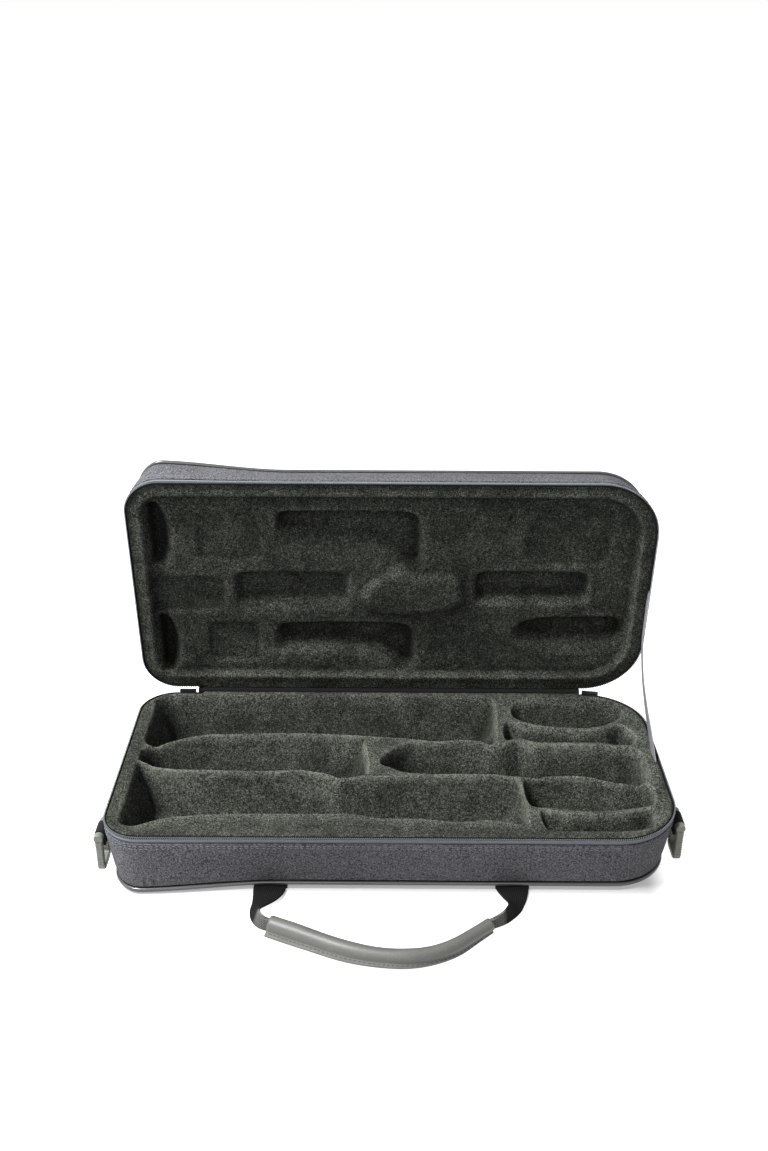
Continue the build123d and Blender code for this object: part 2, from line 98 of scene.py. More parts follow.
class Wire:
    """A socket of a node, so that a pattern can be written as sums and products."""

    def __init__(self, layout, socket):
        self.layout = layout
        self.socket = socket

    def math(self, operation, other=None, turned=False):
        pair = [self] if other is None else [other, self] if turned else [self, other]
        return self.layout.node("Math", {"operation": operation}, pair)

    def __add__(self, other):
        return self.math("ADD", other)

    def __sub__(self, other):
        return self.math("SUBTRACT", other)

    def __rsub__(self, other):
        return self.math("SUBTRACT", other, True)

    def __mul__(self, other):
        return self.math("MULTIPLY", other)

    __radd__ = __add__
    __rmul__ = __mul__

    def sin(self):
        return self.math("SINE")

    def most(self, other):
        return self.math("MAXIMUM", other)

    def clamp(self):
        return self.layout.node("Clamp", None, [self])

    def between(self, low, high):
        """0 below low, 1 above high and a soft rise from one to the other."""
        return self.layout.node("MapRange", {"interpolation_type": "SMOOTHSTEP"},
                                {"Value": self, "From Min": low, "From Max": high})


class Layout:
    """The nodes of a finish, or of the light round it, while they are laid out."""

    def __init__(self, tree):
        self.tree = tree

    def node(self, kind, settings=None, sockets=None, output=0):
        node = self.tree.nodes.new("ShaderNode" + kind)
        for key, value in (settings or {}).items():
            setattr(node, key, value)
        named = sockets.items() if isinstance(sockets, dict) else enumerate(sockets or [])
        for key, value in named:
            if isinstance(value, Wire):
                self.tree.links.new(value.socket, node.inputs[key])
            else:
                node.inputs[key].default_value = value
        return Wire(self, node.outputs[output])

    def white_shown(self):
        """1 for the rays that should see plain white: the camera's, gloss and glass."""
        rays = [self.node("LightPath", output=ray) for ray in white_rays]
        return rays[0].most(rays[1]).most(rays[2])


class Finish(Layout):
    """A material of the case; what is the same all over it is given by name."""

    def __init__(self, name, **fixed):
        self.material = bpy.data.materials.new(name)
        self.material.use_nodes = True
        super().__init__(self.material.node_tree)
        self.shader = self.tree.nodes["Principled BSDF"]
        for socket, value in fixed.items():
            self.shader.inputs[socket.replace("_", " ")].default_value = value

    def place(self):
        """Where a point of the piece is, in metres in the case's own frame."""
        return self.node("TexCoord", output="Object")

    def cloth(self):
        """Metres along and across a strip of cloth, as two wires."""
        there = self.node("UVMap", {"uv_map": "cloth"})
        return [self.node("SeparateXYZ", None, [there], axis) for axis in (0, 1)]

    def noise(self, size, detail=2.0, rough=0.5):
        return self.node("TexNoise", None, {"Vector": self.place(), "Scale": 1 / size,
                                            "Detail": detail, "Roughness": rough})

    def blend(self, amount, dark, light):
        """Colour between two colours."""
        pair = [c if isinstance(c, Wire) else (*c, 1.0) for c in (dark, light)]
        return self.node("Mix", {"data_type": "RGBA"}, {0: amount, 6: pair[0], 7: pair[1]}, 2)

    def feed(self, **wires):
        for socket, wire in wires.items():
            self.tree.links.new(wire.socket, self.shader.inputs[socket.replace("_", " ")])
        return self.material

    def bump(self, height, depth, strength=1.0):
        return self.node("Bump", None, {"Height": height, "Distance": depth,
                                        "Strength": strength})


world = bpy.data.worlds.new("studio")
bpy.context.scene.world = world
world.use_nodes = True
world.node_tree.nodes.clear()
sky = Layout(world.node_tree)
sky_light = sky.node("Background", None, {"Color": (1, 1, 1, 1), "Strength": sky_level})
sky_white = sky.node("Background", None, {"Color": (1, 1, 1, 1), "Strength": 1.0})
sky_mixed = sky.node("MixShader", None, [sky.white_shown(), sky_light, sky_white])
sky_end = world.node_tree.nodes.new("ShaderNodeOutputWorld")
world.node_tree.links.new(sky_mixed.socket, sky_end.inputs["Surface"])


# ---------------------------------------------------------------- white sweep
# The case stands on a sweep of white paper. The paper shows plain white but for the soft
# shadow under and just in front of the case, and it isn't part of the object.
sweep_size = 12.0
sweep_below = 0.0002
sweep_grey = 0.50
sweep_glow = 0.30         # share of white left in the middle of the shadow
case_half = (0.190, 0.096, 1.0)
glow_full = 0.022         # out from the foot of the case
sweep_mesh = bpy.data.meshes.new("sweep")
sweep_corners = [(x * sweep_size, y * sweep_size, -sweep_below)
                 for x, y in ((-1, -1), (1, -1), (1, 1), (-1, 1))]
sweep_mesh.from_pydata(sweep_corners, [], [(0, 1, 2, 3)])
sweep = bpy.data.objects.new("sweep", sweep_mesh)
bpy.context.scene.collection.objects.link(sweep)
paper = Finish("paper", Base_Color=(sweep_grey, sweep_grey, sweep_grey, 1), Roughness=1.0,
               Specular_IOR_Level=0.0, Emission_Strength=1.0)
mirrored = paper.node("VectorMath", {"operation": "ABSOLUTE"}, [paper.place()])
past = paper.node("VectorMath", {"operation": "SUBTRACT"}, [mirrored, case_half])
past = paper.node("VectorMath", {"operation": "MAXIMUM"}, [past, (0, 0, 0)])
away = paper.node("VectorMath", {"operation": "LENGTH"}, [past], "Value")
glow = away.between(0.0, glow_full) * (1 - sweep_glow) + sweep_glow
paper.feed(Emission_Color=paper.blend(paper.white_shown() * glow, (0, 0, 0), (1, 1, 1)))
sweep_mesh.materials.append(paper.material)


# ---------------------------------------------------------------- trays
# Each half is stiffened by a thin black fibre board tray that all the rest is glued and
# sewn to. Only a hair of it could ever be seen, behind the zipper.
board_black = (0.022, 0.022, 0.023, 1)
board = Finish("board", Base_Color=board_black, Roughness=0.85, Specular_IOR_Level=0.1).material


def refinish(node, finish):
    """A CAD piece whose shape is right takes the real finish."""
    mesh = frame["nodes"][node].data
    mesh.materials.clear()
    mesh.materials.append(finish)


refinish("base_tray", board)
refinish("lid_tray", board)


# ---------------------------------------------------------------- canvas walls
# The outside of each half is a band of woven nylon canvas, with its top edge folded under
# and its foot caught in the seam behind the piping. Base and lid share one plan, a long
# box with small corners at the bell end, and every strip on the case is sewn along it.
mm = 0.001
length = 430.0
width = 204.0
corner_left = 30.0
corner_right = 50.0
base_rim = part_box("base_zipper_coil")[1].z / mm
lid_gap = 2.0
lid_rim = base_rim + lid_gap
panel = 4.5
lid_depth = 38.0
wall_high = {"base": base_rim - panel, "lid": lid_depth - panel}
wall_lean = 8.0
upright_from = -85.0      # towards the bell end the front and back walls stand upright
upright_to = -195.0
upright_lean = 0.5
seam_dip = {"base": 1.6, "lid": 0.8}
hinge = next(j for j in frame["joints"] if j["name"] == "lid_hinge")
hinge_line = Vector(hinge["pos_m"])
open_angle = hinge["range_deg"][1]
opened = (Matrix.Translation(hinge_line) @ Matrix.Rotation(math.radians(-open_angle), 4, "X")
          @ Matrix.Translation(-hinge_line))


def trace_plan():
    """The rim, clockwise from the middle of the hinge side: distances, points, headings."""
    x, y = length / 2, width / 2
    corners = [(x, y, corner_right), (x, -y, corner_right), (-x, -y, corner_left),
               (-x, y, corner_left)]
    points, headings = [(0.0, y)], [math.pi / 2]
    for i, (cx, cy, r) in enumerate(corners):
        start = math.pi / 2 - i * math.pi / 2
        middle = (cx - math.copysign(r, cx), cy - math.copysign(r, cy))
        for turn in np.linspace(0, math.pi / 2, 40):
            angle = start - turn
            points.append((middle[0] + r * math.cos(angle), middle[1] + r * math.sin(angle)))
            headings.append(angle)
    points.append((0.0, y))
    headings.append(-1.5 * math.pi)
    points = np.array(points)
    steps = np.hypot(*np.diff(points, axis=0).T)
    return np.concatenate([[0], np.cumsum(steps)]), points, np.array(headings)


plan_s, plan_points, plan_headings = trace_plan()
around = plan_s[-1]


def rim(s):
    """Point of the rim and its outward direction, s millimetres along it."""
    s = np.asarray(s) % around
    point = np.stack([np.interp(s, plan_s, plan_points[:, i]) for i in (0, 1)], -1)
    heading = np.interp(s, plan_s, plan_headings)
    return point, np.stack([np.cos(heading), np.sin(heading)], -1)


def soft_step(t):
    t = np.clip(t, 0, 1)
    return t * t * (3 - 2 * t)


def bell_end(x):
    """0 along most of the case, rising to 1 at the bell end."""
    return soft_step((x - upright_from) / (upright_to - upright_from))


def on_wall(half, s, inset, drop):
    """Points in millimetres: inset from the rim's outside, drop down the leaning wall."""
    s, inset, drop = np.broadcast_arrays(s, inset, drop)
    point, out = rim(s)
    share = drop / wall_high[half]
    upright = bell_end(point[..., 0])
    lean = np.stack([wall_lean * share,
                     (wall_lean + (upright_lean - wall_lean) * upright) * share], -1)
    plan = point - out * (inset[..., None] + lean)
    drop = drop + seam_dip[half] * upright * share ** 2
    z = base_rim - drop if half == "base" else lid_rim + drop
    return np.concatenate([plan, z[..., None]], -1)


def make_piece(name, half, points, faces, finish, body, cloth=None, smooth=True):
    """A mesh from points in millimetres; pieces of the lid are turned to where it stands."""
    mesh = bpy.data.meshes.new(name)
    mesh.from_pydata((np.asarray(points).reshape(-1, 3) * mm).tolist(), [], faces)
    if half == "lid":
        mesh.transform(opened)
    if cloth is not None:
        layer = mesh.uv_layers.new(name="cloth")
        corners = np.empty(len(mesh.loops), int)
        mesh.loops.foreach_get("vertex_index", corners)
        layer.data.foreach_set("uv", (np.asarray(cloth).reshape(-1, 2) * mm)[corners].ravel())
    if smooth:
        mesh.shade_smooth()
    mesh.materials.append(finish)
    piece = bpy.data.objects.new(name, mesh)
    bpy.context.scene.collection.objects.link(piece)
    if body:
        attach(piece, body)
    return piece


def quads(rows, columns, round_rows=False, round_columns=False, start=0):
    """Faces of a grid of points, wrapped where it closes on itself."""
    r = np.arange(rows if round_rows else rows - 1)
    c = np.arange(columns if round_columns else columns - 1)
    r, c = np.meshgrid(r, c, indexing="ij")
    r2, c2 = (r + 1) % rows, (c + 1) % columns
    corners = np.stack([r * columns + c, r2 * columns + c, r2 * columns + c2,
                        r * columns + c2], -1)
    return (corners.reshape(-1, 4) + start).tolist()


def end_caps(rows, columns, turned=False, start=0):
    """The two faces that close a tube whose sides are quads."""
    first = list(range(start, start + columns))
    last = [i + (rows - 1) * columns for i in first]
    return [first[::-1], last] if turned else [first, last[::-1]]


def strip(half, profile, spacing, span=None, wave=None):
    """A closed profile of (inset, drop) pairs carried along the rim: points, faces, cloth."""
    closed = span is None
    first, last = span or (0.0, around)
    steps = int((last - first) / spacing)
    s = np.linspace(first, last, steps + 1)[:steps if closed else None]
    profile = np.array(profile, float)
    across = np.concatenate([[0], np.cumsum(np.hypot(*np.diff(profile, axis=0).T))])
    ss, k = np.meshgrid(s, np.arange(len(profile)), indexing="ij")
    inset, drop = profile[k, 0], profile[k, 1]
    if wave is not None:
        inset, drop = wave(ss, inset, drop)
    points = on_wall(half, ss, inset, drop)
    faces = quads(len(s), len(profile), closed, True)
    if not closed:
        faces += end_caps(len(s), len(profile))
    if half == "base":
        faces = [f[::-1] for f in faces]
    return points, faces, np.stack([ss, across[k]], -1)


canvas_dark = (0.014, 0.014, 0.018)
canvas_light = (0.21, 0.21, 0.225)
yarn = 1.15 * mm
weft_slant = 0.55
wander_size = 9 * mm
cloud_size = 45 * mm
canvas_rise = 0.25 * mm


def weave_canvas(name, flat):
    """Canvas; a flat panel takes its yarns from its place, a wall from along and across it."""
    canvas = Finish(name, Roughness=0.72, Specular_IOR_Level=0.12)
    if flat:
        along, across = [canvas.node("SeparateXYZ", None, [canvas.place()], i) for i in (0, 1)]
    else:
        along, across = canvas.cloth()
    turn = 2 * math.pi / yarn
    wander = (canvas.noise(wander_size) - 0.5) * 1.4
    warp = (along * turn + across * turn + wander).sin()
    weft = (along * turn - across * (turn * weft_slant) + wander).sin()
    twill = (warp * 0.6 + weft * 0.4) * 0.5 + 0.5
    fleck = canvas.noise(yarn, 2.0, rough=0.6)
    cloud = canvas.noise(cloud_size, 3.0)
    shade = ((twill - 0.5) * 1.1 + (fleck - 0.5) * 3.0 + (cloud - 0.5) * 0.5 + 0.42).clamp()
    colour = canvas.blend(shade, canvas_dark, canvas_light)
    rise = twill * 0.7 + fleck * 0.3
    return canvas.feed(Base_Color=colour, Roughness=0.62 + 0.2 * fleck,
                       Normal=canvas.bump(rise, canvas_rise, 0.7))


wall_canvas = weave_canvas("wall_canvas", False)
panel_canvas = weave_canvas("panel_canvas", True)
fold_drop = 6.2
foot_drop = 2.6           # the band's foot, short of the seam
canvas_spacing = 4.0


def canvas_profile(half):
    """Outside of the band from its folded top edge to its tuck, then up its inside."""
    foot = wall_high[half]
    out = [(1.1, fold_drop + 0.5), (0.7, fold_drop - 0.1), (0.15, fold_drop),
           (-0.15, fold_drop + 0.6), (-0.1, fold_drop + 1.6)]
    out += [(-0.2 - 0.5 * math.sin(math.pi * t), fold_drop + 1.6 + t * (foot - fold_drop - 5.4))
            for t in np.linspace(0.12, 1, 7)]
    out += [(-0.1, foot - foot_drop - 0.6), (0.25, foot - foot_drop - 0.15),
            (0.8, foot - foot_drop), (1.25, foot - foot_drop - 0.1)]
    back = [(1.25, foot - 4.0), (1.2, foot * 0.5), (1.15, fold_drop + 2.0)]
    return out + back


def canvas_wave(ss, inset, drop):
    """The cloth is a touch fuller in places, as canvas over a board is."""
    slack = 0.16 * np.sin(ss / 37.0) + 0.12 * np.sin(ss / 13.0 + drop / 9.0)
    return inset - slack * (inset < 0.5), drop


for half in ("base", "lid"):
    points, faces, cloth = strip(half, canvas_profile(half), canvas_spacing, None, canvas_wave)
    wall = make_piece(half + "_canvas", half, points, faces, wall_canvas, half,
                      cloth)
    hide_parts(half + "_side_cover")


# ---------------------------------------------------------------- wall stitches
# Two rows of thick thread hold the canvas to the zipper's tape, with the stitches of the
# two rows side by side. The thread is paler than the cloth.
stitch_pitch = 4.05
stitch_long = 2.7
stitch_radius = 0.26
stitch_proud = 0.28
stitch_rows = (fold_drop + 2.1, fold_drop + 4.3)
stitch_sides = 6
thread_dark = (0.10, 0.115, 0.14)
thread_light = (0.21, 0.235, 0.27)
thread_twist = 0.5 * mm

thread = Finish("thread", Roughness=0.6)
thread_grey = thread.feed(
    Base_Color=thread.blend(thread.noise(thread_twist), thread_dark, thread_light))


def stitches(half, drop, first):
    """One row of short stitches that dive into the cloth at both ends, faces from first on."""
    middles = np.arange(stitch_pitch, around - stitch_pitch, stitch_pitch)
    ends = np.array([(-0.5, 0.0, 0.35), (-0.36, 0.9, -0.05), (0.0, 1.0, -0.2),
                     (0.36, 0.9, -0.05), (0.5, 0.0, 0.35)])
    angle = np.linspace(0, 2 * math.pi, stitch_sides, endpoint=False)
    swell = stitch_radius * ends[None, :, 1, None]
    s = middles[:, None, None] + ends[None, :, 0, None] * stitch_long + 0 * angle
    deep = -stitch_proud + ends[None, :, 2, None] - swell * np.cos(angle) + 0 * s
    low = drop + swell * np.sin(angle) + 0 * s
    each = len(ends) * stitch_sides
    faces = []
    for i in range(len(middles)):
        faces += quads(len(ends), stitch_sides, False, True, first + i * each)
    return on_wall(half, s, deep, low).reshape(-1, 3), faces


for half in ("base", "lid"):
    upper, faces = stitches(half, stitch_rows[0], 0)
    lower, more_faces = stitches(half, stitch_rows[1], len(upper))
    make_piece(half + "_wall_stitches", half, np.concatenate([upper, lower]),
               faces + more_faces, thread_grey, half)


# ---------------------------------------------------------------- zipper
# A coil zipper runs from one end of the hinge side, round the front, to the other end.
# Its teeth are one nylon wire wound into a coil, sewn to the edge of a woven tape, and a
# black binding closes the gap between the coil and the plush.
zip_start = 164.0         # on the hinge side, right
zip_end = around - 168.0  # on the hinge side, left
tooth_pitch = 1.57
wire_radius = 0.3
coil_reach = 0.5
coil_half_height = 1.2
coil_inset = 0.85
coil_drop = 1.75
tape_top = 3.0
wire_sides = 5
wire_steps = 12           # to each turn of the coil
binding_spacing = 3.0
tape_spacing = 4.0
tape_rib_pitch = 0.8 * mm
tape_dark = (0.10, 0.112, 0.13)
tape_light = (0.26, 0.29, 0.32)
wire_dark = (0.118, 0.129, 0.138)
wire_light = (0.21, 0.228, 0.239)
binding_black = (0.008, 0.008, 0.0085, 1)

zip_tape = Finish("zip_tape", Roughness=0.75, Specular_IOR_Level=0.2)
tape_rib = (zip_tape.cloth()[0] * (2 * math.pi / tape_rib_pitch)).sin() * 0.5 + 0.5
tape_cloud = zip_tape.noise(1.5 * mm)
tape_grey = zip_tape.feed(
    Base_Color=zip_tape.blend(tape_rib * 0.4 + tape_cloud * 0.6, tape_dark, tape_light),
    Normal=zip_tape.bump(tape_rib, 0.12 * mm))
zip_wire = Finish("zip_wire", Roughness=0.35)
wire_cloud = zip_wire.noise(6 * mm)
wire_grey = zip_wire.feed(Base_Color=zip_wire.blend(wire_cloud, wire_dark, wire_light))

tape_profile = [(1.35, tape_top - 0.2), (0.5, tape_top - 0.15), (0.2, tape_top + 0.25),
                (0.15, tape_top + 1.1), (0.35, tape_top + 1.6), (0.9, tape_top + 1.9),
                (1.05, tape_top + 2.6), (1.0, fold_drop + 2.8), (1.35, fold_drop + 2.8),
                (1.4, tape_top + 2.0)]
binding_profile = [(1.5, 4.0), (1.5, 0.5), (1.65, 0.12), (1.95, 0.05), (2.25, 0.25),
                   (2.35, 1.0), (2.35, 4.0)]
binding_span = (zip_start - 3, zip_end + 3)
binding = Finish("edging", Base_Color=binding_black, Roughness=0.85,
                 Specular_IOR_Level=0.08).material


def headings_of(line):
    """The direction of a line at each of its points, as vectors of length 1."""
    ahead = np.gradient(line, axis=0)
    return ahead / np.linalg.norm(ahead, axis=1)[:, None]


for half in ("base", "lid"):
    points, faces, _ = strip(half, binding_profile, binding_spacing, binding_span)
    make_piece(half + "_black_edging", half, points, faces, binding, half)
    points, faces, cloth = strip(half, tape_profile, tape_spacing, (zip_start, zip_end))
    tape = make_piece(half + "_zip_tape", half, points, faces, tape_grey, half,
                      cloth)
    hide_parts(half + "_zipper_tape")
    turns = (zip_end - zip_start) / tooth_pitch
    wound = np.arange(0, turns * 2 * math.pi, 2 * math.pi / wire_steps)
    coil_s = zip_start + (wound + np.sin(wound)) / (2 * math.pi) * tooth_pitch
    centre = on_wall(half, coil_s, coil_inset + coil_reach * np.cos(wound),
                     coil_drop - coil_half_height * np.sin(wound))
    ahead = headings_of(centre)
    side = np.cross(ahead, (0, 0, 1.0))
    side /= np.linalg.norm(side, axis=1)[:, None] + 1e-9
    over = np.cross(side, ahead)
    angle = np.linspace(0, 2 * math.pi, wire_sides, endpoint=False)[None, :, None]
    tube = centre[:, None] + wire_radius * (np.cos(angle) * side[:, None]
                                            + np.sin(angle) * over[:, None])
    coil = make_piece(half + "_zip_coil", half, tube,
                      quads(len(centre), wire_sides, False, True),
                      wire_grey, half)
    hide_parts(half + "_zipper_coil")


# ---------------------------------------------------------------- piping
# A cord wrapped in glossy grey vinyl is sewn into the seam between wall and panel. At the
# bell end the seam dips, because the deep pockets there push the wall out.
piping_radius = 1.75
piping_sides = 14
piping_spacing = 3.0
vinyl_dark = (0.03, 0.03, 0.03)
vinyl_light = (0.075, 0.075, 0.075)

vinyl = Finish("vinyl", Roughness=0.28, Coat_Weight=0.3, Coat_Roughness=0.15)
vinyl_grain = vinyl.noise(2.2 * mm, 3.0)
vinyl_cloud = vinyl.noise(30 * mm)
vinyl_grey = vinyl.feed(
    Base_Color=vinyl.blend(vinyl_cloud * 0.6 + vinyl_grain * 0.4, vinyl_dark, vinyl_light),
    Normal=vinyl.bump(vinyl_grain, 0.1 * mm, 0.5))

for half in ("base", "lid"):
    seam = wall_high[half]
    turn = np.linspace(0, 2 * math.pi, piping_sides, endpoint=False)
    profile = [(piping_radius * math.cos(a), seam + piping_radius * math.sin(a)) for a in turn]
    points, faces, cloth = strip(half, profile, piping_spacing)
    cord = make_piece(half + "_vinyl_piping", half, points, faces, vinyl_grey, half,
                      cloth)
    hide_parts(half + "_piping")


# ---------------------------------------------------------------- bottom and top panels
# Each half is closed by a flat panel of the same canvas over thin padding, sewn in behind
# the piping. The bottom rests on the floor; the top is a little crowned.
panel_inset = 1.0
panel_swell = {"base": panel - 0.2, "lid": (panel - 0.2) * 0.75}
panel_crown = {"base": 0.0, "lid": 0.9}
panel_floor = 0.05        # the bottom lies this far above the floor
panel_steps = 240
# How far in from the seam each ring of points lies, and its share of the full swell.
panel_rings = [(0.4, 0.0), (1.8, 0.75), (3.2, 0.96), (5.5, 1.0)] + [
    (inset, 1.0) for inset in (9, 16, 24, 33, 42, 51, 60, 69, 78, 87, 94, 98, 99.8)]


def padded_panel(half):
    """Rings of points from the seam in to the middle line of the panel."""
    s = np.linspace(0, around, panel_steps, endpoint=False)
    seam = wall_high[half]
    edge = on_wall(half, s, np.full_like(s, panel_inset), seam)
    middle = np.clip(edge[:, 0], -(length - width) / 2, (length - width) / 2)
    rings = []
    for inset, out in panel_rings:
        share = inset / (width / 2)
        plan = np.column_stack([edge[:, 0] + (middle - edge[:, 0]) * share,
                                edge[:, 1] * (1 - share)])
        rise = out * panel_swell[half] + panel_crown[half] * share
        level = edge[:, 2] * (1 - out) + out * (base_rim - seam if half == "base" else
                                                lid_rim + seam)
        z = level - rise if half == "base" else level + rise
        if half == "base":
            z = np.maximum(z, panel_floor)
        rings.append(np.column_stack([plan, z]))
    faces = quads(len(rings), len(s), False, True)
    last = (len(rings) - 1) * len(s)
    faces.append([last + i for i in reversed(range(len(s)))])
    if half == "base":
        faces = [f[::-1] for f in faces]
    return np.concatenate(rings), faces


for half, node in (("base", "base_bottom_panel"), ("lid", "lid_top_panel")):
    points, faces = padded_panel(half)
    padding = make_piece(half + "_padded_panel", half, points, faces, panel_canvas, half)
    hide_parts(node)


# ---------------------------------------------------------------- base insert
# Moulded foam under black-green plush is glued into the tray. Its three rows of pockets
# are each as wide as a joint of the instrument, with the two bells in the deep flared
# ends at the left. The short pile catches the light in flecks and lies in soft patches.
# Light on the plush's ridge crests and shade in its hollows are painted into its colour.
plush_dark = (0.002, 0.003, 0.002)
plush_light = (0.178, 0.191, 0.163)
tuft_size = 2.4 * mm
pile_size = 0.7 * mm
tip_size = 1.0 * mm
patch_size = 30 * mm
lay_size = 11 * mm
pile_height = 1.1 * mm

plush = Finish("plush", Roughness=0.95, Specular_IOR_Level=0.04)
# Painted light and shade from two attributes: the first lightens the plush along ridge crests as
# a painted highlight, the second is painted shade, darker in hollows and lighter on raised
# parts.
plush_painted_crest_light = plush.node("Attribute", {"attribute_name": "painted_crest_light"}, output="Fac")
plush_painted_occlusion = plush.node("Attribute", {"attribute_name": "painted_occlusion"}, output="Fac")
tuft = plush.noise(tuft_size, 4.0, rough=0.8)
fine = plush.noise(pile_size, 2.0, rough=0.7)
tips = plush.noise(tip_size, 2.0, rough=0.6)
patch = plush.noise(patch_size, 3.0)
lay = plush.noise(lay_size, 3.0)
flecks = (tuft * 0.5 + fine * 0.5).between(0.42, 0.64) * 0.6 + tips.between(0.54, 0.64) * 0.75
# The colour is scaled by the painted crest highlight and by the painted shade in hollows.
plush_shade = ((flecks * 0.62 + 0.03) * ((patch - 0.5) * 1.4 + 1.0)
               * ((lay - 0.5) * 1.3 + 1.0) * (plush_painted_crest_light * 0.8 + 1.0) * plush_painted_occlusion).clamp()
plush_black = plush.feed(
    Base_Color=plush.blend(plush_shade, plush_dark, plush_light),
    Normal=plush.bump(tuft * 0.6 + fine * 0.4, pile_height, 0.9))

wall_bow = 1.5            # 1 is a flat slope, 2 a quarter of an ellipse
liner_spacing = 0.8
liner_edge = 2.3          # rim's outside to where the plush goes down behind the coil
hinge_edge = 0.4          # along the hinge it is turned over the rim
hinge_half = 166.0
lip_tuck = 1.7            # the edge goes down behind the coil
tuck_reach = 1.1
occlusion_reach = 7.0          # reach of the painted shade in hollows and painted light on raised parts


def smooth_loop(points, step=2.0):
    """Closed curve through given points."""
    p = np.array(points, float)
    before, after, far = np.roll(p, 1, 0), np.roll(p, -1, 0), np.roll(p, -2, 0)
    out = []
    for p0, p1, p2, p3 in zip(before, p, after, far):
        n = max(2, int(np.linalg.norm(p2 - p1) / step))
        t = (np.arange(n) / n)[:, None]
        m1, m2 = [chord * 0.5 * min(1, 2 * np.linalg.norm(p2 - p1)
                                    / (np.linalg.norm(chord) + 1e-6)) * 0.8
                  for chord in (p2 - p0, p3 - p1)]
        out.append((2 * t**3 - 3 * t**2 + 1) * p1 + (t**3 - 2 * t**2 + t) * m1
                   + (3 * t**2 - 2 * t**3) * p2 + (t**3 - t**2) * m2)
    return np.concatenate(out)


def inside_distance(x, y, loop):
    """How far each grid point lies inside a closed curve, negative outside it."""
    nearest = np.full(x.shape, 1e9)
    crossings = np.zeros(x.shape, bool)
    for (ax, ay), (bx, by) in zip(loop, np.roll(loop, -1, 0)):
        dx, dy = bx - ax, by - ay
        t = np.clip(((x - ax) * dx + (y - ay) * dy) / (dx * dx + dy * dy + 1e-9), 0, 1)
        nearest = np.minimum(nearest, (x - ax - t * dx) ** 2 + (y - ay - t * dy) ** 2)
        if ay != by:
            crossings ^= ((ay > y) != (by > y)) & (x < (bx - ax) * (y - ay) / (by - ay) + ax)
    return np.sqrt(nearest) * np.where(crossings, 1, -1)


def rim_distance(x, y):
    """How far each point lies inside the rim, and the direction straight out of it."""
    r = np.where(x < 0, corner_left, corner_right)
    qx, qy = np.abs(x) - (length / 2 - r), np.abs(y) - (width / 2 - r)
    corner = (qx > 0) & (qy > 0)
    reach = np.hypot(qx, qy) + 1e-9
    side = np.where(qx - r > qy - r, qx, qy)
    inside = r - np.where(corner, reach, side)
    across_x = np.where(corner, qx / reach, qx >= qy) * np.sign(x)
    across_y = np.where(corner, qy / reach, qx < qy) * np.sign(y)
    return inside, across_x, across_y


def soften(field, times):
    """Plush rounds every edge of the foam."""
    for _ in range(times):
        wide = np.pad(field, 1, mode="edge")
        beside = wide[:-2, 1:-1] + wide[2:, 1:-1] + wide[1:-1, :-2] + wide[1:-1, 2:]
        field = (4 * field + 2 * beside + wide[:-2, :-2] + wide[2:, 2:] + wide[:-2, 2:]
                 + wide[2:, :-2]) / 16
    return field


def spread(field, reach):
    """Average of the field over a round patch, reach millimetres about each point."""
    steps = np.arange(-3 * reach, 3 * reach + liner_spacing, liner_spacing)
    weights = np.exp(-0.5 * (steps / reach) ** 2)
    weights /= weights.sum()
    for axis in (0, 1):
        pad = [(0, 0), (0, 0)]
        pad[axis] = (len(steps) // 2, len(steps) - 1 - len(steps) // 2)
        wide = np.pad(field, pad, mode="edge")
        field = sum(w * np.take(wide, np.arange(i, i + field.shape[axis]), axis)
                    for i, w in enumerate(weights))
    return field


def liner(name, half, drop_at, crest_light_width, occlusion_strength):
    """The insert's upper face as one sheet of plush, from its drop below the rim."""
    nx, ny = int(length / liner_spacing) + 3, int(width / liner_spacing) + 3
    x, y = np.meshgrid((np.arange(nx) - (nx - 1) / 2) * liner_spacing,
                       (np.arange(ny) - (ny - 1) / 2) * liner_spacing, indexing="ij")
    drop = drop_at(x, y)
    inside, out_x, out_y = rim_distance(x, y)
    # Painted highlight along the crests, where the softened plush stands above its own shape.
    bowed = soften(drop, 3) - drop
    painted_crest_light = np.clip(bowed / crest_light_width, 0, 1) * (inside > 8)
    # Painted shade and light: plush lower than its surroundings is darker, plush higher than
    # them is lighter, as ambient shade would make it.
    high = spread(drop, occlusion_reach) - drop
    painted_occlusion = np.clip(1 + high * occlusion_strength, 0.3, 1.5)
    at_hinge = (y > 0) * soft_step((hinge_half - np.abs(x)) / 4)
    edge_at = liner_edge - (liner_edge - hinge_edge) * at_hinge
    move = inside - edge_at
    outside = move < 0
    x = np.where(outside, x + out_x * move, x)
    y = np.where(outside, y + out_y * move, y)
    edge = np.clip(move, 0, None)
    tuck = lip_tuck * (1 - at_hinge) * (1 - soft_step(edge / tuck_reach))
    drop = drop + tuck
    z = base_rim - drop if half == "base" else lid_rim + drop
    faces = np.array(quads(nx, ny))
    faces = faces[~outside.ravel()[faces].all(1)]
    if half == "base":
        faces = faces[:, ::-1]
    used, faces = np.unique(faces, return_inverse=True)
    faces = faces.reshape(-1, 4)
    points = np.stack([x, y, z], -1).reshape(-1, 3)[used]
    sheet = make_piece(name, half, points, faces.tolist(), plush_black, half)
    for label, values in (("painted_crest_light", painted_crest_light), ("painted_occlusion", painted_occlusion)):
        mark = sheet.data.attributes.new(label, "FLOAT", "POINT")
        mark.data.foreach_set("value", values.ravel()[used].astype(np.float32))
    return sheet


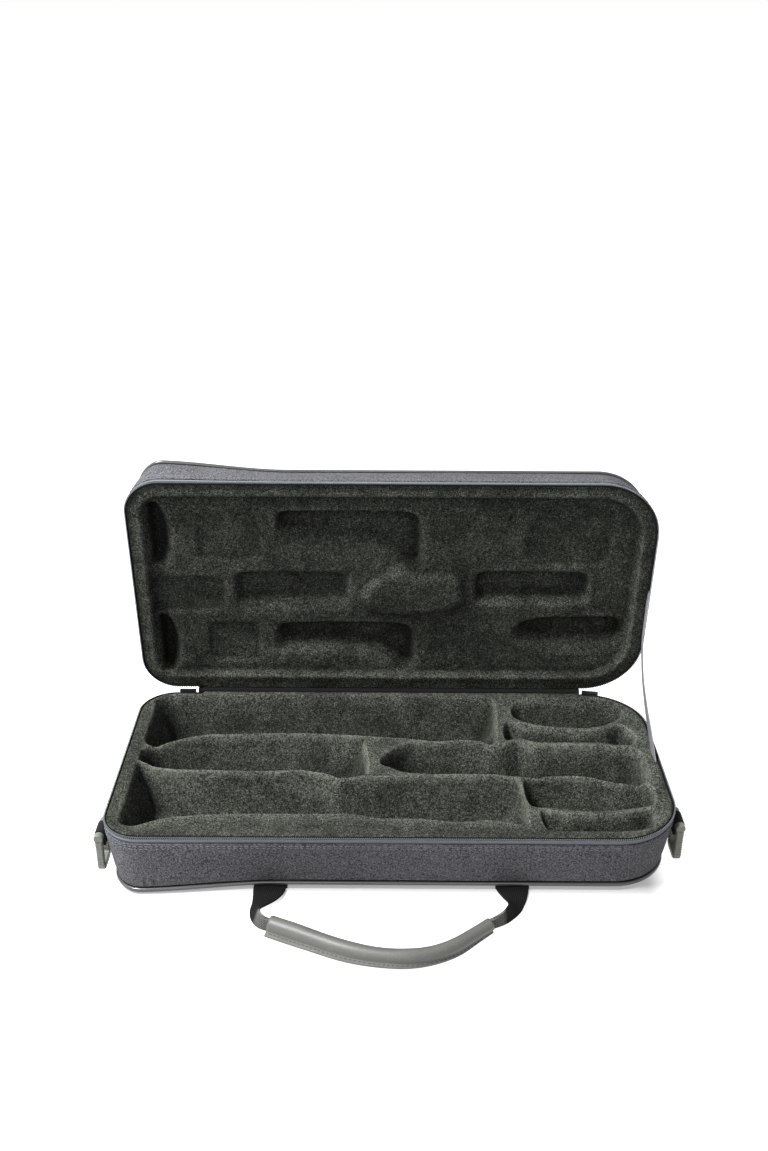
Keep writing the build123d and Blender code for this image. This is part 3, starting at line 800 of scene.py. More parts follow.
def hollow(x, y, mouth, floor, deep, round_by, bow=wall_bow):
    """Depth of a pocket between the curve of its mouth and that of its floor."""
    round_by = np.broadcast_to(round_by, x.shape)
    near = (x > mouth[:, 0].min() - 4) & (x < mouth[:, 0].max() + 4) \
        & (y > mouth[:, 1].min() - 4) & (y < mouth[:, 1].max() + 4)
    depth = np.zeros(x.shape)
    xs, ys = x[near], y[near]
    from_mouth = inside_distance(xs, ys, mouth)
    if floor is None:
        share = np.clip(from_mouth / round_by[near], 0, 1)
    else:
        from_floor = np.maximum(-inside_distance(xs, ys, floor), 0)
        share = np.clip(from_mouth / (np.maximum(from_mouth, 0) + from_floor + 1e-6), 0, 1)
    depth[near] = deep * (1 - (1 - share) ** bow) ** (1 / bow)
    return depth


lip_drop = 0.3
border_drop = 3.0
border_reach = 14.0
pocket_floor = 40.0
small_floor = 29.0
shallow_floor = 24.0
ridge_rear = [(-196, 23), (-180, 30), (-167, 36), (-151, 40), (-130, 41), (-76, 43), (-31, 40),
              (6, 36), (32, 32), (48, 33), (63, 34), (74, 32), (83, 28)]
ridge_front = [(-193, -3), (-185, -7), (-170, -10), (-140, -11), (-99, -12), (-72, -10),
               (-55, -14), (-47, -17), (-40, -21), (-20, -20)]
ridge_front_right = [(10, -13), (30, -15), (77, -15), (106, -19), (127, -17), (143, -16),
                     (159, -19), (168, -23), (178, -26), (200, -24)]
ridge_rear_right = [(92, 28), (103, 33), (111, 31), (119, 27), (149, 27), (171, 27), (184, 24),
                    (195, 23)]
front_edge = [(-179, -77), (-165, -72), (-151, -70), (-132, -68), (-104, -67), (-69, -67),
              (-30, -67), (-17, -70), (-7, -72), (19, -72), (33, -74), (47, -76), (62, -75),
              (73, -73), (88, -77), (98, -78)]


def shifted(points, by):
    return [(x, y + by) for x, y in points]


rear_row = ([(-203, 95), (-203, 34)] + shifted(ridge_rear, 0.8) + [(86, 40), (87, 60), (87, 92)]
            + [(60, 95), (-60, 96), (-180, 96)])
middle_left = ([(-203, 12), (-200, 17)] + shifted(ridge_rear, -1.6)[:8] + [(-22, 34), (-21, 10)]
               + [(-21, -15)] + shifted(ridge_front[::-1], 0.8)[1:] + [(-202, 3)])
middle_right = ([(-8, -1), (-6, 9), (4, 21), (16, 28)] + shifted(ridge_rear, -1.6)[8:]
                + shifted(ridge_rear_right, -1.6) + [(201, 14), (202, 0)]
                + shifted(ridge_front_right[::-1], 0.8) + [(0, -6)])
front_row = ([(-203, -78), (-203, -4)] + shifted(ridge_front, -1.6)
             + [(-6, -21), (10, -19), (30, -19), (77, -18), (98, -22), (101, -50), (101, -76)]
             + front_edge[::-1] + [(-192, -83)])
barrel_pocket = ([(104, -23)] + shifted(ridge_front_right, -1.6)[4:-1] + [(199, -28), (199, -52)]
                 + [(177, -59), (152, -62), (137, -61), (122, -58), (106, -55)])
front_small = [(113, -63), (122, -64), (137, -67), (152, -68), (177, -65), (196, -60),
               (194, -80), (186, -86), (153, -87), (117, -86), (113, -75)]
boat_pocket = [(104, 84), (104, 70), (114, 61), (130, 56), (158, 52.5), (175, 56), (188, 64),
               (197, 76), (192, 91), (146, 94), (112, 91)]
narrow_pocket = [(94, 48), (95, 34), (103, 37), (111, 35), (119, 31), (149, 31), (171, 31),
                 (184, 28), (195, 28), (200, 33), (200, 44), (192, 57), (178, 51), (158, 47),
                 (130, 51), (112, 57), (98, 60)]
base_pockets = [
    # outline, floor, width of the far wall, 1 where a bell flares
    (rear_row, pocket_floor, 16, 1),
    (middle_left, pocket_floor, 15, 0),
    (middle_right, pocket_floor, 15, 0),
    (front_row, pocket_floor, 20, 1),
    (barrel_pocket, small_floor, 12, 0),
    (front_small, shallow_floor, 9, 0),
    (boat_pocket, small_floor, 14, 0),
    (narrow_pocket, shallow_floor, 8, 0),
]
end_wall = -203.0         # the bells' ends lean on a sloping wall
end_slope = 2.4
near_wall = 4.0           # the wall on the player's side drops almost straight
tray_slope = 47.0 / 8.0   # the tray's own walls lean in
tray_inside = 6.2


def wall_width(x, y, outline, far, flare):
    """How wide the wall round a pocket is: thin in front, and thin where a bell flares."""
    middle = (np.max([q[1] for q in outline]) + np.min([q[1] for q in outline])) / 2
    behind = soft_step((y - middle) / 12 + 0.5)
    bell = flare * soft_step((-150 - x) / 40)
    return near_wall + (far - near_wall) * behind * (1 - 0.65 * bell)


def base_drop(x, y):
    inside = rim_distance(x, y)[0]
    drop = lip_drop + border_drop * soft_step((inside - 3) / border_reach)
    depth = np.zeros(x.shape)
    for outline, floor, far, flare in base_pockets:
        slope = wall_width(x, y, outline, far, flare)
        pocket = hollow(x, y, smooth_loop(outline), None, floor - border_drop, slope)
        depth = np.maximum(depth, np.minimum(pocket, np.maximum(x - end_wall, 0) * end_slope))
    drop = np.minimum(drop + depth, np.maximum((inside - tray_inside) * tray_slope, drop))
    return soften(drop, 2)


# The last two numbers set the width of the painted crest highlight and the strength of the
# painted shade.
base_plush = liner("base_plush_insert", "base", base_drop, 0.55, 0.07)
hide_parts("base_foam_floor", "base_foam_bell_half", "base_foam_barrel_half",
            "base_plush_lip")


# ---------------------------------------------------------------- lid insert
# The lid's insert is of the same plush over shallow foam, glued into its tray. It has slots
# for the two bells' rims, and soft recesses where the keys of each joint stand up.
lid_lip = 1.4
lid_field = 8.0
field_rise = 2.5          # the field comes up towards the hinge
lid_recess = 12.0
recess_edge = 3.5
lid_border = 13.0
lid_bow = 0.75
bump_rise = 5.0


def from_hinge(points):
    """Points given by x and by how far they lie from the hinge side."""
    return [(x, width / 2 - s) for x, s in points]


lid_pockets = [
    # mouth, floor, depth below the field
    ([(-197, 122), (-186, 122), (-180, 135), (-178, 152), (-181, 168), (-188, 181), (-197, 181)],
     [(-196, 126), (-190, 128), (-187, 140), (-186, 152), (-188, 165), (-192, 176), (-196, 177)],
     14.0),
    ([(-197, 15), (-188, 15), (-181, 28), (-179, 44), (-182, 60), (-189, 72), (-197, 72)],
     [(-196, 19), (-191, 20), (-188, 32), (-187, 44), (-189, 58), (-193, 68), (-196, 69)],
     14.0),
    ([(-95, 133), (-95, 171), (-88, 174), (0, 174), (16, 172), (24, 165), (26, 112), (20, 108),
      (8, 109), (-5, 115), (-16, 123), (-32, 128), (-60, 130), (-88, 130)],
     [(-90, 158), (-90, 169), (-60, 171), (10, 171), (19, 165), (20, 126), (14, 125),
      (4, 136), (-10, 146), (-30, 152), (-60, 154)],
     lid_recess),
    ([(-98, 34), (-98, 60), (-90, 65), (0, 65), (14, 62), (20, 55), (22, 15), (16, 10), (4, 10),
      (-6, 18), (-17, 26), (-36, 31), (-60, 33)],
     [(-93, 46), (-92, 58), (-60, 62), (8, 61), (15, 54), (16, 24), (11, 23), (2, 33), (-12, 41),
      (-34, 46), (-60, 46)],
     lid_recess),
    ([(-132, 79), (-132, 112), (-125, 116), (-44, 116), (-34, 112), (-34, 79), (-44, 76),
      (-122, 76)],
     [(-127, 90), (-127, 110), (-120, 113), (-48, 113), (-40, 108), (-40, 90), (-50, 88),
      (-118, 88)],
     7.0),
    ([(68, 88), (68, 112), (76, 117), (154, 117), (164, 113), (166, 88), (156, 83), (76, 83)],
     [(72, 92), (72, 111), (80, 114), (152, 114), (160, 109), (160, 93), (152, 91), (80, 91)],
     lid_recess * 0.8),
    ([(102, 57), (108, 66), (124, 71), (150, 72), (190, 72), (198, 66), (199, 43), (190, 35),
      (130, 34), (108, 43)],
     [(110, 57), (116, 63), (130, 67), (150, 68), (185, 68), (192, 62), (192, 54), (184, 50),
      (132, 50), (116, 52)],
     lid_recess),
    ([(-201, 78), (-201, 108), (-192, 112), (-150, 112), (-138, 108), (-138, 78), (-150, 74),
      (-192, 74)],
     None, 2.4),
    ([(-160, 130), (-160, 168), (-154, 174), (-114, 174), (-107, 167), (-105, 131), (-112, 125),
      (-153, 125)],
     None, 2.2),
    ([(-157, 29), (-157, 60), (-151, 66), (-118, 66), (-111, 60), (-110, 30), (-117, 24),
      (-150, 24)],
     None, 2.2),
    ([(110, 130), (107, 150), (114, 172), (128, 182), (168, 182), (179, 172), (181, 136),
      (172, 123), (120, 121)],
     None, 2.2),
]
lid_bump = [(-26, 92), (-18, 76), (10, 73), (44, 77), (58, 84), (62, 97), (56, 111), (40, 117),
            (24, 115), (10, 122), (-4, 118), (-20, 106)]


def lid_drop(x, y):
    inside = rim_distance(x, y)[0]
    lip = lid_lip - 1.2 * soft_step((inside - 4) / 9)
    field = lid_field - field_rise * soft_step((y - 55) / 30)
    drop = lip + (field - 0.2) * soft_step((inside - lid_border) / recess_edge)
    depth = np.zeros(x.shape)
    for mouth, floor, deep in lid_pockets:
        mouth = smooth_loop(from_hinge(mouth))
        floor = smooth_loop(from_hinge(floor)) if floor else None
        depth = np.maximum(depth, hollow(x, y, mouth, floor, deep, recess_edge, lid_bow))
    rise = np.clip(inside_distance(x, y, smooth_loop(from_hinge(lid_bump))) / 8, 0, 1)
    drop = drop - bump_rise * (1 - (1 - rise) ** 2.2)
    return soften(drop + depth, 3)


# The last two numbers set the width of the painted crest highlight and the strength of the
# painted shade; the lid's top border comes out lighter.
lid_plush = liner("lid_plush_insert", "lid", lid_drop, 1.6, 0.13)
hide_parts("lid_foam_back", "lid_foam_rear_row", "lid_foam_middle_row",
            "lid_foam_front_row", "lid_foam_border", "lid_plush_lip")


# ---------------------------------------------------------------- fabric hinge
# A doubled strip of the black lining cloth joins the halves along the back between the
# zipper's ends. It is sewn down the base's wall and up the lid's, and folds at the rims.
hinge_flap = 8.5
hinge_thick = 0.9
hinge_behind = 0.8        # from the rims' back to the middle of the cloth
fold_room = 0.6           # rim to where the cloth starts to turn
fold_proud = 0.5
hinge_steps = 84
hinge_dark = (0.003, 0.003, 0.003)
hinge_light = (0.016, 0.017, 0.016)

hinge_cloth = Finish("hinge_cloth", Roughness=0.9, Specular_IOR_Level=0.08)
hinge_fleck = hinge_cloth.noise(1.2 * mm)
hinge_black = hinge_cloth.feed(
    Base_Color=hinge_cloth.blend(hinge_fleck, hinge_dark, hinge_light),
    Normal=hinge_cloth.bump(hinge_fleck, 0.3 * mm))

back = width / 2 + hinge_behind
in_base = [(back, base_rim - hinge_flap), (back, base_rim - 5), (back, base_rim - fold_room)]
in_lid = [(back, lid_rim + fold_room), (back, lid_rim + 5), (back, lid_rim + hinge_flap)]
in_lid = [tuple(c / mm for c in (opened @ Vector((0, y * mm, z * mm)))[1:]) for y, z in in_lid]
in_fold = [(back + fold_proud, (base_rim + lid_rim) / 2 + 0.2)]
cloth_line = np.array(in_base + in_fold + in_lid)
cloth_ahead = headings_of(cloth_line)
cloth_side = np.stack([cloth_ahead[:, 1], -cloth_ahead[:, 0]], -1) * hinge_thick / 2
cloth_loop = np.concatenate([cloth_line + cloth_side, (cloth_line - cloth_side)[::-1]])
hinge_x = np.linspace(zip_end - around, zip_start, hinge_steps)
cloth_points = np.stack([np.repeat(hinge_x, len(cloth_loop)),
                         np.tile(cloth_loop[:, 0], len(hinge_x)),
                         np.tile(cloth_loop[:, 1], len(hinge_x))], -1)
cloth_faces = quads(len(hinge_x), len(cloth_loop), False, True)
cloth_faces += end_caps(len(hinge_x), len(cloth_loop), True)
fabric_hinge = make_piece("fabric_hinge", "base", cloth_points, cloth_faces, hinge_black, None)
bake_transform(fabric_hinge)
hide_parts("hinge_fabric_base", "hinge_fabric_lid")


# ---------------------------------------------------------------- lid stay
# A narrow grey tape at the right holds the lid from falling back. It is sewn in behind the
# zipper of both halves, hangs a little slack and shows its edge to the front.
stay_width = 11.0
stay_thick = 0.8
stay_reach = 103.0        # from the hinge line, in both halves
stay_tuck = 4.0           # sewn in below the rims
stay_sag = 9.0
stay_rib_pitch = 1.4 * mm
stay_dark = (0.12, 0.12, 0.135)
stay_light = (0.27, 0.27, 0.30)
stay_across = [(0.0, 210.0), (0.12, 209.6), (0.3, 207.6), (0.5, 206.0), (0.7, 206.6),
               (0.88, 210.5), (1.0, 213.0)]
stay_twist = [(0.0, 4.0), (0.14, 1.0), (0.3, -3.0), (0.5, -6.0), (0.7, -6.0), (0.88, -6.0),
              (1.0, -2.0)]

stay_weave = Finish("stay_weave", Roughness=0.7)
stay_rib = (stay_weave.cloth()[0] * (2 * math.pi / stay_rib_pitch)).sin() * 0.5 + 0.5
stay_grey = stay_weave.feed(
    Base_Color=stay_weave.blend(stay_rib, stay_dark, stay_light),
    Normal=stay_weave.bump(stay_rib, 0.2 * mm))


def ribbon(middle, over, wide, thick):
    """A band with rounded edges along a line, its width lying along over."""
    ahead = headings_of(middle)
    over = over / np.linalg.norm(over, axis=1)[:, None]
    out = np.cross(ahead, over)
    shape = np.array([(-0.5, 0.0), (-0.47, 0.36), (-0.4, 0.5), (-0.2, 0.5), (0.0, 0.5),
                      (0.2, 0.5), (0.4, 0.5), (0.47, 0.36), (0.5, 0.0), (0.47, -0.36),
                      (0.4, -0.5), (0.2, -0.5), (0.0, -0.5), (-0.2, -0.5), (-0.4, -0.5),
                      (-0.47, -0.36)])
    wide = np.broadcast_to(wide, len(middle))[:, None, None]
    thick = np.broadcast_to(thick, len(middle))[:, None, None]
    points = (middle[:, None] + over[:, None] * shape[None, :, :1] * wide
              + out[:, None] * shape[None, :, 1:] * thick)
    faces = quads(len(middle), len(shape), False, True)
    faces += end_caps(len(middle), len(shape), True)
    far = np.concatenate([[0], np.cumsum(np.linalg.norm(np.diff(middle, axis=0), axis=1))])
    cloth = np.stack(np.broadcast_arrays(far[:, None], (shape[:, 0] * wide[:, 0]).reshape(
        len(middle), -1)), -1)
    return points, faces, cloth


t = np.linspace(0, 1, 60)
hinge_at = np.array(hinge_line[1:]) / mm
foot = np.array([hinge_at[0] - stay_reach, base_rim - stay_tuck])
tilt = math.radians(open_angle)
head = np.array([hinge_at[0] - stay_reach * math.cos(tilt) + stay_tuck * math.sin(tilt),
                 hinge_at[1] + stay_reach * math.sin(tilt) + stay_tuck * math.cos(tilt)])
chord = head - foot
sag = np.array([chord[1], -chord[0]]) / np.linalg.norm(chord) * stay_sag
plane = foot + t[:, None] * chord + 4 * (t * (1 - t))[:, None] * sag
stay_x = np.interp(t, *np.array(stay_across).T)
stay_x = np.convolve(np.pad(stay_x, 4, mode="edge"), np.ones(9) / 9, "valid")
stay_line = np.column_stack([stay_x, plane])
in_plane = headings_of(plane) @ np.array([(0, -1.0), (1.0, 0)])
twist = np.radians(np.interp(t, *np.array(stay_twist).T))
stay_over = np.column_stack([-np.sin(twist), in_plane * np.cos(twist)[:, None]])
points, faces, cloth = ribbon(stay_line, stay_over, stay_width, stay_thick)
stay = make_piece("stay_tape", "base", points, faces, stay_grey, None, cloth)
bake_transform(stay)
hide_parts("lid_stay")


# ---------------------------------------------------------------- strap rings
# A moulded nylon ring for a shoulder strap hangs at each end from a folded webbing tab
# sewn to the wall. Its bar has a thick barrel at each end, and its legs fine ribs.
ring_length = 24.0
ring_drop = 30.0
ring_thick = 5.6
ring_leg = 5.0
ring_barrel = 7.2
ring_bend = 3.5
ring_bar = 2.2            # radius of the bar in the tab
ribs_from = -7.0
rib_pitch = 2.3
rib_depth = 0.35
nylon_dark = (0.12, 0.13, 0.11)
nylon_light = (0.19, 0.205, 0.175)
tab_dark = (0.006, 0.006, 0.007)
tab_light = (0.03, 0.03, 0.033)

nylon = Finish("nylon", Roughness=0.42)
nylon_cloud = nylon.noise(4 * mm)
nylon_grey = nylon.feed(Base_Color=nylon.blend(nylon_cloud, nylon_dark, nylon_light),
                        Normal=nylon.bump(nylon.noise(0.9 * mm), 0.08 * mm))
tab_weave = Finish("tab_weave", Roughness=0.85, Specular_IOR_Level=0.08)
tab_fleck = tab_weave.noise(0.9 * mm)
tab_black = tab_weave.feed(Base_Color=tab_weave.blend(tab_fleck, tab_dark, tab_light),
                           Normal=tab_weave.bump(tab_fleck, 0.3 * mm))


def ring_leg_line():
    """Line down one leg, along the foot of the ring and up the other leg."""
    y, z, r = ring_length / 2 - ring_leg / 2, -ring_drop + ring_leg / 2, ring_bend
    down = [(y, h) for h in np.arange(-ring_barrel / 2 + 1.2, z + r, -0.38)]
    bend = [(y - r + r * math.cos(a), z + r + r * math.sin(a))
            for a in np.linspace(0, -math.pi / 2, 9)]
    half = down + bend + [(h, z) for h in np.arange(y - r - 0.5, 0, -0.5)]
    return np.array(half + [(-h, v) for h, v in reversed(half)])


for name in ("left", "right"):
    ring_low, ring_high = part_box("strap_ring_" + name)
    ring_x = (ring_low.x + ring_high.x) / 2 / mm
    ring_y = (ring_low.y + ring_high.y) / 2 / mm
    pivot_z = ring_low.z / mm + ring_drop
    line = ring_leg_line()
    ahead = headings_of(line)
    out = np.stack([-ahead[:, 1], ahead[:, 0]], -1)
    ribbed = (np.abs(ahead[:, 1]) > 0.9) & (line[:, 1] < ribs_from)
    groove = np.where(ribbed, rib_depth * (0.5 + 0.5 * np.cos(line[:, 1] * 2 * math.pi
                                                              / rib_pitch)), 0)
    shape = np.array([(-0.5, -0.36), (-0.36, -0.5), (0.36, -0.5), (0.5, -0.36), (0.5, 0.36),
                      (0.36, 0.5), (-0.36, 0.5), (-0.5, 0.36)])
    thick = (ring_thick - 2 * groove)[:, None]
    wide = (ring_leg - 2 * groove)[:, None]
    points = np.stack([ring_x + shape[None, :, 0] * thick,
                       ring_y + line[:, :1] + out[:, :1] * shape[None, :, 1] * wide,
                       pivot_z + line[:, 1:] + out[:, 1:] * shape[None, :, 1] * wide], -1)
    faces = quads(len(line), len(shape), False, True) + end_caps(len(line), len(shape))
    points = points.reshape(-1, 3)
    turn = np.linspace(0, 2 * math.pi, 20, endpoint=False)
    radius, half = ring_barrel / 2, ring_length / 2
    barrel = [(-half, 0.0), (-half, radius - 0.6), (-half + 0.6, radius),
              (-half + ring_leg - 0.4, radius), (-half + ring_leg, radius - 0.4),
              (-half + ring_leg, ring_bar), (half - ring_leg, ring_bar),
              (half - ring_leg, radius - 0.4),
              (half - ring_leg + 0.4, radius), (half - 0.6, radius), (half, radius - 0.6),
              (half, 0.0)]
    lathe = np.array([[(ring_x + r * math.cos(a), ring_y + h, pivot_z + r * math.sin(a))
                       for a in turn] for h, r in barrel[1:-1]])
    faces += quads(len(barrel) - 2, len(turn), False, True, len(points))
    faces += end_caps(len(barrel) - 2, len(turn), True, len(points))
    ring = make_piece("strap_ring_" + name + "_moulded", "base",
                      np.concatenate([points, lathe.reshape(-1, 3)]), faces, nylon_grey,
                      "strap_ring_" + name, None, False)
    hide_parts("strap_ring_" + name)
    refinish("ring_tab_" + name, tab_black)


# ---------------------------------------------------------------- grip
# The carrying handle's grip is grey leatherette wrapped round a soft rod. Its two edges are
# laid together along the outer side, and it lies on the floor in front of the case.
grip_route = [(-86.0, -141.0), (-22.0, -170.5), (29.0, -174.5), (70.0, -139.0)]
grip_bends = [125.0, 70.0]
grip_radius = 6.3
grip_slimming = [(0.0, 6.2), (0.25, 6.1), (0.5, 5.5), (0.75, 5.2), (1.0, 4.6)]
grip_edge = 3.9
edge_thick = 1.9
tube_sides = 26
hole_share = 0.62         # the open ends of the tube, as a share of its outside
hole_deep = 2.2
edge_angles = [(0.0, -22.0), (0.55, -24.0), (0.8, -48.0), (1.0, -62.0)]
leather_dark = (0.072, 0.075, 0.068)
leather_light = (0.134, 0.137, 0.126)

leather = Finish("leather", Roughness=0.46)
leather_grain = leather.node("TexVoronoi", {"feature": "F1"},
                             {"Vector": leather.place(), "Scale": 1 / (1.1 * mm)})
leather_cloud = leather.noise(14 * mm, 3.0)
leather_grey = leather.feed(
    Base_Color=leather.blend(leather_cloud * 0.7 + leather_grain * 0.4, leather_dark,
                             leather_light),
    Roughness=0.4 + 0.14 * leather_cloud,
    Normal=leather.bump(leather_grain, 0.12 * mm, 0.5))


def bent_line(corners, radii, step):
    """Straight runs between corners, joined by arcs, as evenly spaced points."""
    corners = [np.array(c, float) for c in corners]
    points = [corners[0]]
    for before, corner, after, r in zip(corners, corners[1:], corners[2:], radii):
        a = (before - corner) / np.linalg.norm(before - corner)
        b = (after - corner) / np.linalg.norm(after - corner)
        half = math.acos(np.clip(a @ b, -1, 1)) / 2
        middle = corner + (a + b) / np.linalg.norm(a + b) * r / math.sin(half)
        first, last = corner + a * r / math.tan(half), corner + b * r / math.tan(half)
        for share in np.linspace(0, 1, 24):
            spoke = (first - middle) * (1 - share) + (last - middle) * share
            points.append(middle + spoke / np.linalg.norm(spoke) * r)
    points.append(corners[-1])
    points = np.array(points)
    far = np.concatenate([[0], np.cumsum(np.linalg.norm(np.diff(points, axis=0), axis=1))])
    even = np.linspace(0, far[-1], int(far[-1] / step) + 1)
    return np.stack([np.interp(even, far, points[:, i]) for i in (0, 1)], -1), even


grip_line, grip_far = bent_line(grip_route, grip_bends, 1.5)
grip_share = grip_far / grip_far[-1]
grip_ahead = headings_of(grip_line)
grip_out = np.stack([grip_ahead[:, 1], -grip_ahead[:, 0]], -1)
edge_angle = np.radians(np.interp(grip_share, *np.array(edge_angles).T))
tube_radius = np.interp(grip_share, *np.array(grip_slimming).T)
tube_radius = tube_radius * (1 + 0.03 * np.sin(grip_far / 9) * np.sin(grip_far / 23))


def grip_point(i, out, up):
    """Point beside the grip's middle line: out from the case and up."""
    plan = grip_line[i] + grip_out[i] * np.asarray(out)[..., None]
    return np.concatenate([plan, (grip_radius + np.asarray(up))[..., None]], -1)


def sunk_by(r):
    """A thinner stretch of the grip lies lower."""
    return max(0.0, grip_radius - r) * 0.6


rows = []
for i, (r, angle) in enumerate(zip(tube_radius, edge_angle)):
    low = sunk_by(r)
    opening = math.asin(edge_thick / 2 / r) + 0.12
    around_tube = np.linspace(angle + opening, angle + 2 * math.pi - opening, tube_sides)
    out, up = r * np.cos(around_tube), r * np.sin(around_tube) - low
    slim = grip_edge * (1 - 0.4 * grip_share[i])
    reach = np.array([r + 0.3, r + slim - 0.5, r + slim, r + slim, r + slim - 0.5, r + 0.3])
    half = np.array([-0.5, -0.5, -0.25, 0.25, 0.5, 0.5]) * edge_thick
    out = np.concatenate([out, reach * math.cos(angle) - half * math.sin(angle)])
    up = np.concatenate([up, reach * math.sin(angle) + half * math.cos(angle) - low])
    rows.append(grip_point(i, out, np.maximum(up, 0.1 - grip_radius)))
grip_points = np.array(rows)
inner = []
for i in (0, len(rows) - 1):
    middle = rows[i].mean(0)
    ahead = grip_ahead[i] * (1 if i == 0 else -1)
    sunk = (rows[i] - middle) * hole_share + middle
    deep = sunk.copy()
    deep[:, :2] += ahead * hole_deep
    inner.append((sunk, deep))
count = grip_points.shape[1]
faces = quads(len(rows), count, False, True)
points = [grip_points.reshape(-1, 3)]
for (sunk, deep), row, flip in zip(inner, (0, len(rows) - 1), (False, True)):
    start = sum(len(p) for p in points)
    points += [sunk, deep]
    for k in range(count):
        k2 = (k + 1) % count
        for a, b in ((row * count, start), (start, start + count)):
            face = [a + k, b + k, b + k2, a + k2]
            faces.append(face[::-1] if not flip else face)
    cap = [start + count + k for k in range(count)]
    faces.append(cap if not flip else cap[::-1])
grip = make_piece("grip_wrap", "base", np.concatenate(points), [f[::-1] for f in faces],
                  leather_grey, "handle")
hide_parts("handle_cover", "handle_core")


# ---------------------------------------------------------------- grip stitches
# One row of short thread stitches holds the edges of the grip's wrap together. It stops
# short of the right end, where the edge rolls under.
seam_pitch = 3.2
seam_stitch = 2.1
seam_from = 4.0
seam_share = 0.93
seam_sides = 6

grip_thread = Finish("grip_thread", Base_Color=(0.055, 0.057, 0.052, 1), Roughness=0.6)
seam_points, seam_faces = [], []
for far in np.arange(seam_from, grip_far[-1] * seam_share, seam_pitch):
    angle = np.interp(far, grip_far, edge_angle)
    r = np.interp(far, grip_far, tube_radius)
    turn = np.linspace(0, 2 * math.pi, seam_sides, endpoint=False)
    seam_faces += quads(5, seam_sides, False, True, len(seam_points) * seam_sides)
    for along, swell in ((-0.45, 0.2), (-0.3, 0.9), (0.0, 1.0), (0.3, 0.9), (0.45, 0.2)):
        at = far + along * seam_stitch
        i = np.searchsorted(grip_far, at)
        share = (at - grip_far[i - 1]) / (grip_far[i] - grip_far[i - 1])
        reach = r + 1.3 + 0.4 * swell * np.cos(turn)
        rise = edge_thick / 2 + 0.05 + 0.3 * swell * np.sin(turn)
        out = reach * math.cos(angle) - rise * math.sin(angle)
        up = reach * math.sin(angle) + rise * math.cos(angle) - sunk_by(r)
        one, two = grip_point(i - 1, out, up), grip_point(i, out, up)
        seam_points.append(one + (two - one) * share)
make_piece("grip_stitches", "base", np.concatenate(seam_points), seam_faces,
           grip_thread.material, "handle")


# ---------------------------------------------------------------- handle webbings
# Black woven webbing comes from under the front seam on each side, turns on edge and runs
# into the end of the grip. Near the grip, where it stands on edge, a painted sheen turns it
# grey.
webbing_steps = 60
webbing_floor = 0.12
webbing_smooth = 7
# The painted sheen rises over these distances along the strap, towards the grip, in these
# colours.
painted_sheen_from = 38 * mm
painted_sheen_to = 43 * mm
strap_dark = (0.003, 0.003, 0.003)
strap_light = (0.016, 0.016, 0.017)
painted_sheen_dark = (0.06, 0.06, 0.058)
painted_sheen_light = (0.2, 0.2, 0.195)

strap_black = Finish("strap_black", Roughness=0.8, Specular_IOR_Level=0.08)
strap_along, strap_across = strap_black.cloth()
strap_rib = ((strap_across * (2 * math.pi / (1.5 * mm))).sin() * 0.5 + 0.5) * (
    (strap_along * (2 * math.pi / (2.2 * mm))).sin() * 0.25 + 0.75)
# Painted sheen: the strap turns grey from here on along it.
strap_painted_sheen = strap_along.between(painted_sheen_from, painted_sheen_to)
strap_flat = strap_black.blend(strap_rib, strap_dark, strap_light)
strap_sheen_colour = strap_black.blend(strap_rib, painted_sheen_dark, painted_sheen_light)
strap_weave = strap_black.feed(
    Base_Color=strap_black.blend(strap_painted_sheen, strap_flat, strap_sheen_colour),
    Normal=strap_black.bump(strap_rib, 0.25 * mm))

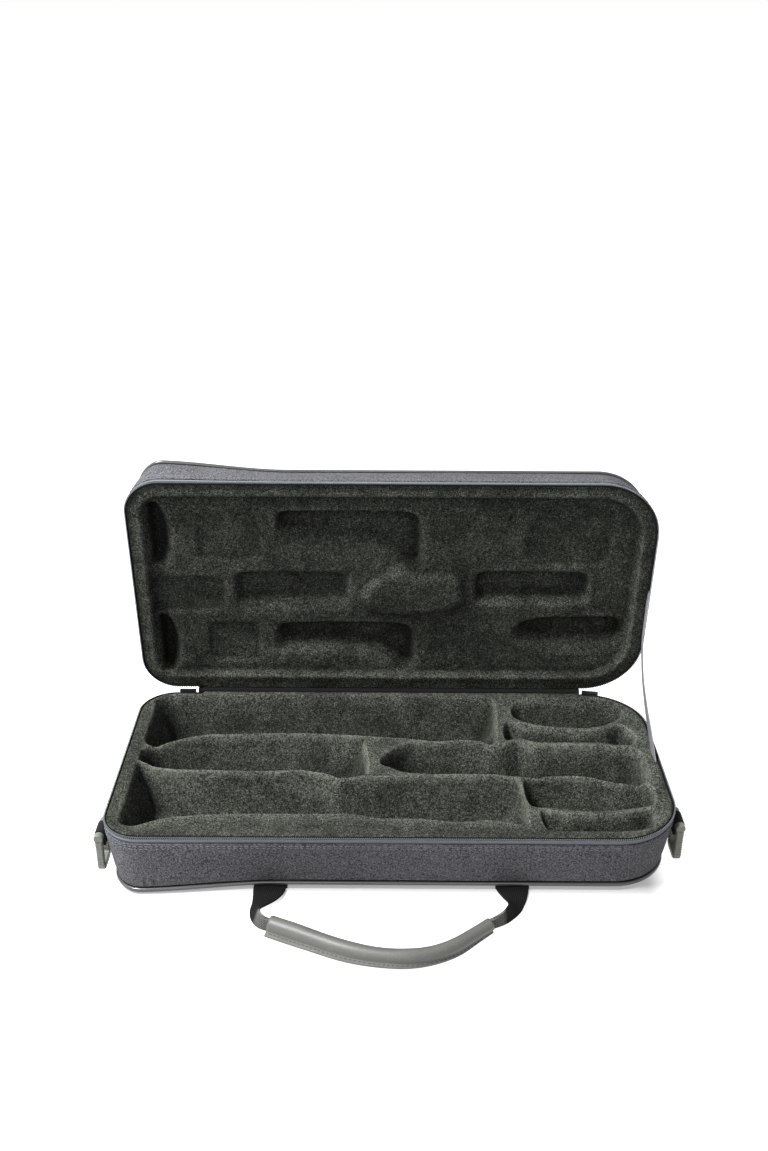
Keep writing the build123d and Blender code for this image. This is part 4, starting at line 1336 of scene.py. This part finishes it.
# Left and right tails: place of the middle line, width, turn on edge in degrees, thickness.
tails = {
    "left": [(-90.5, -95.7, 1.3, 24.5, 0, 1.9), (-90.6, -98, 1.3, 24.3, 0, 1.9),
             (-91.4, -103, 1.6, 22.8, 2, 1.9), (-93.0, -109, 2.2, 19.4, 6, 1.9),
             (-95.2, -116, 3.4, 14.8, 13, 1.9), (-97.0, -123, 5.4, 13.6, 28, 1.9),
             (-97.9, -130, 7.0, 13.6, 56, 2.0), (-95.6, -137.0, 7.0, 13.4, 80, 2.2),
             (-90.6, -141.0, 6.6, 12.0, 90, 2.6), (-84.0, -142.6, 6.3, 10.0, 90, 3.2)],
    "right": [(90.0, -95.7, 1.3, 24.5, 0, 1.9), (90.2, -98, 1.3, 23.4, 0, 1.9),
              (90.6, -103, 1.6, 20.8, -2, 1.9), (90.8, -109, 2.2, 17.2, -6, 1.9),
              (90.4, -115, 3.4, 13.6, -16, 1.9), (88.8, -121, 5.4, 12.8, -40, 1.9),
              (86.2, -127, 6.4, 12.8, -70, 2.0), (81.4, -132.8, 6.4, 12.4, -84, 2.2),
              (75.0, -136.8, 5.8, 10.6, -90, 2.6), (68.5, -140.0, 5.4, 8.4, -90, 3.2)],
}
for name, table in tails.items():
    table = np.array(table, float)
    stops = np.concatenate([[0], np.cumsum(np.linalg.norm(np.diff(table[:, :3], axis=0),
                                                          axis=1))])
    even = np.linspace(0, stops[-1], webbing_steps)
    line, wide, turned, thick = [np.stack([np.interp(even, stops, table[:, c]) for c in cols],
                                          -1) for cols in ((0, 1, 2), (3,), (4,), (5,))]
    smooth = np.ones(webbing_smooth) / webbing_smooth
    line = np.stack([np.convolve(np.pad(line[:, c], webbing_smooth // 2, mode="reflect",
                                        reflect_type="odd"), smooth, "valid")
                     for c in range(3)], -1)
    ahead = headings_of(line[:, :2])
    flat = np.column_stack([-ahead[:, 1], ahead[:, 0], np.zeros(len(line))])
    turned = np.radians(turned)
    over = flat * np.cos(turned) + np.array([0, 0, 1.0]) * np.sin(turned)
    points, faces, cloth = ribbon(line, over, wide[:, 0], thick[:, 0])
    points[..., 2] = np.maximum(points[..., 2], webbing_floor)
    tail = make_piece("webbing_" + name, "base", points, faces, strap_weave, "handle",
                      cloth)
    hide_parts("handle_webbing_" + name)
    refinish("handle_anchor_" + name, tab_black)


# ---------------------------------------------------------------- zipper sliders
# A die-cast slider with a flat pull rests at each end of the zipper, on the hinge side.
# They are plated dark grey.
plating_grey = (0.11, 0.112, 0.12, 1)
plating = Finish("plating", Base_Color=plating_grey, Metallic=1.0, Roughness=0.34)
for side in ("left", "right"):
    refinish("zip_slider_" + side, plating.material)
    refinish("zip_pull_" + side, plating.material)
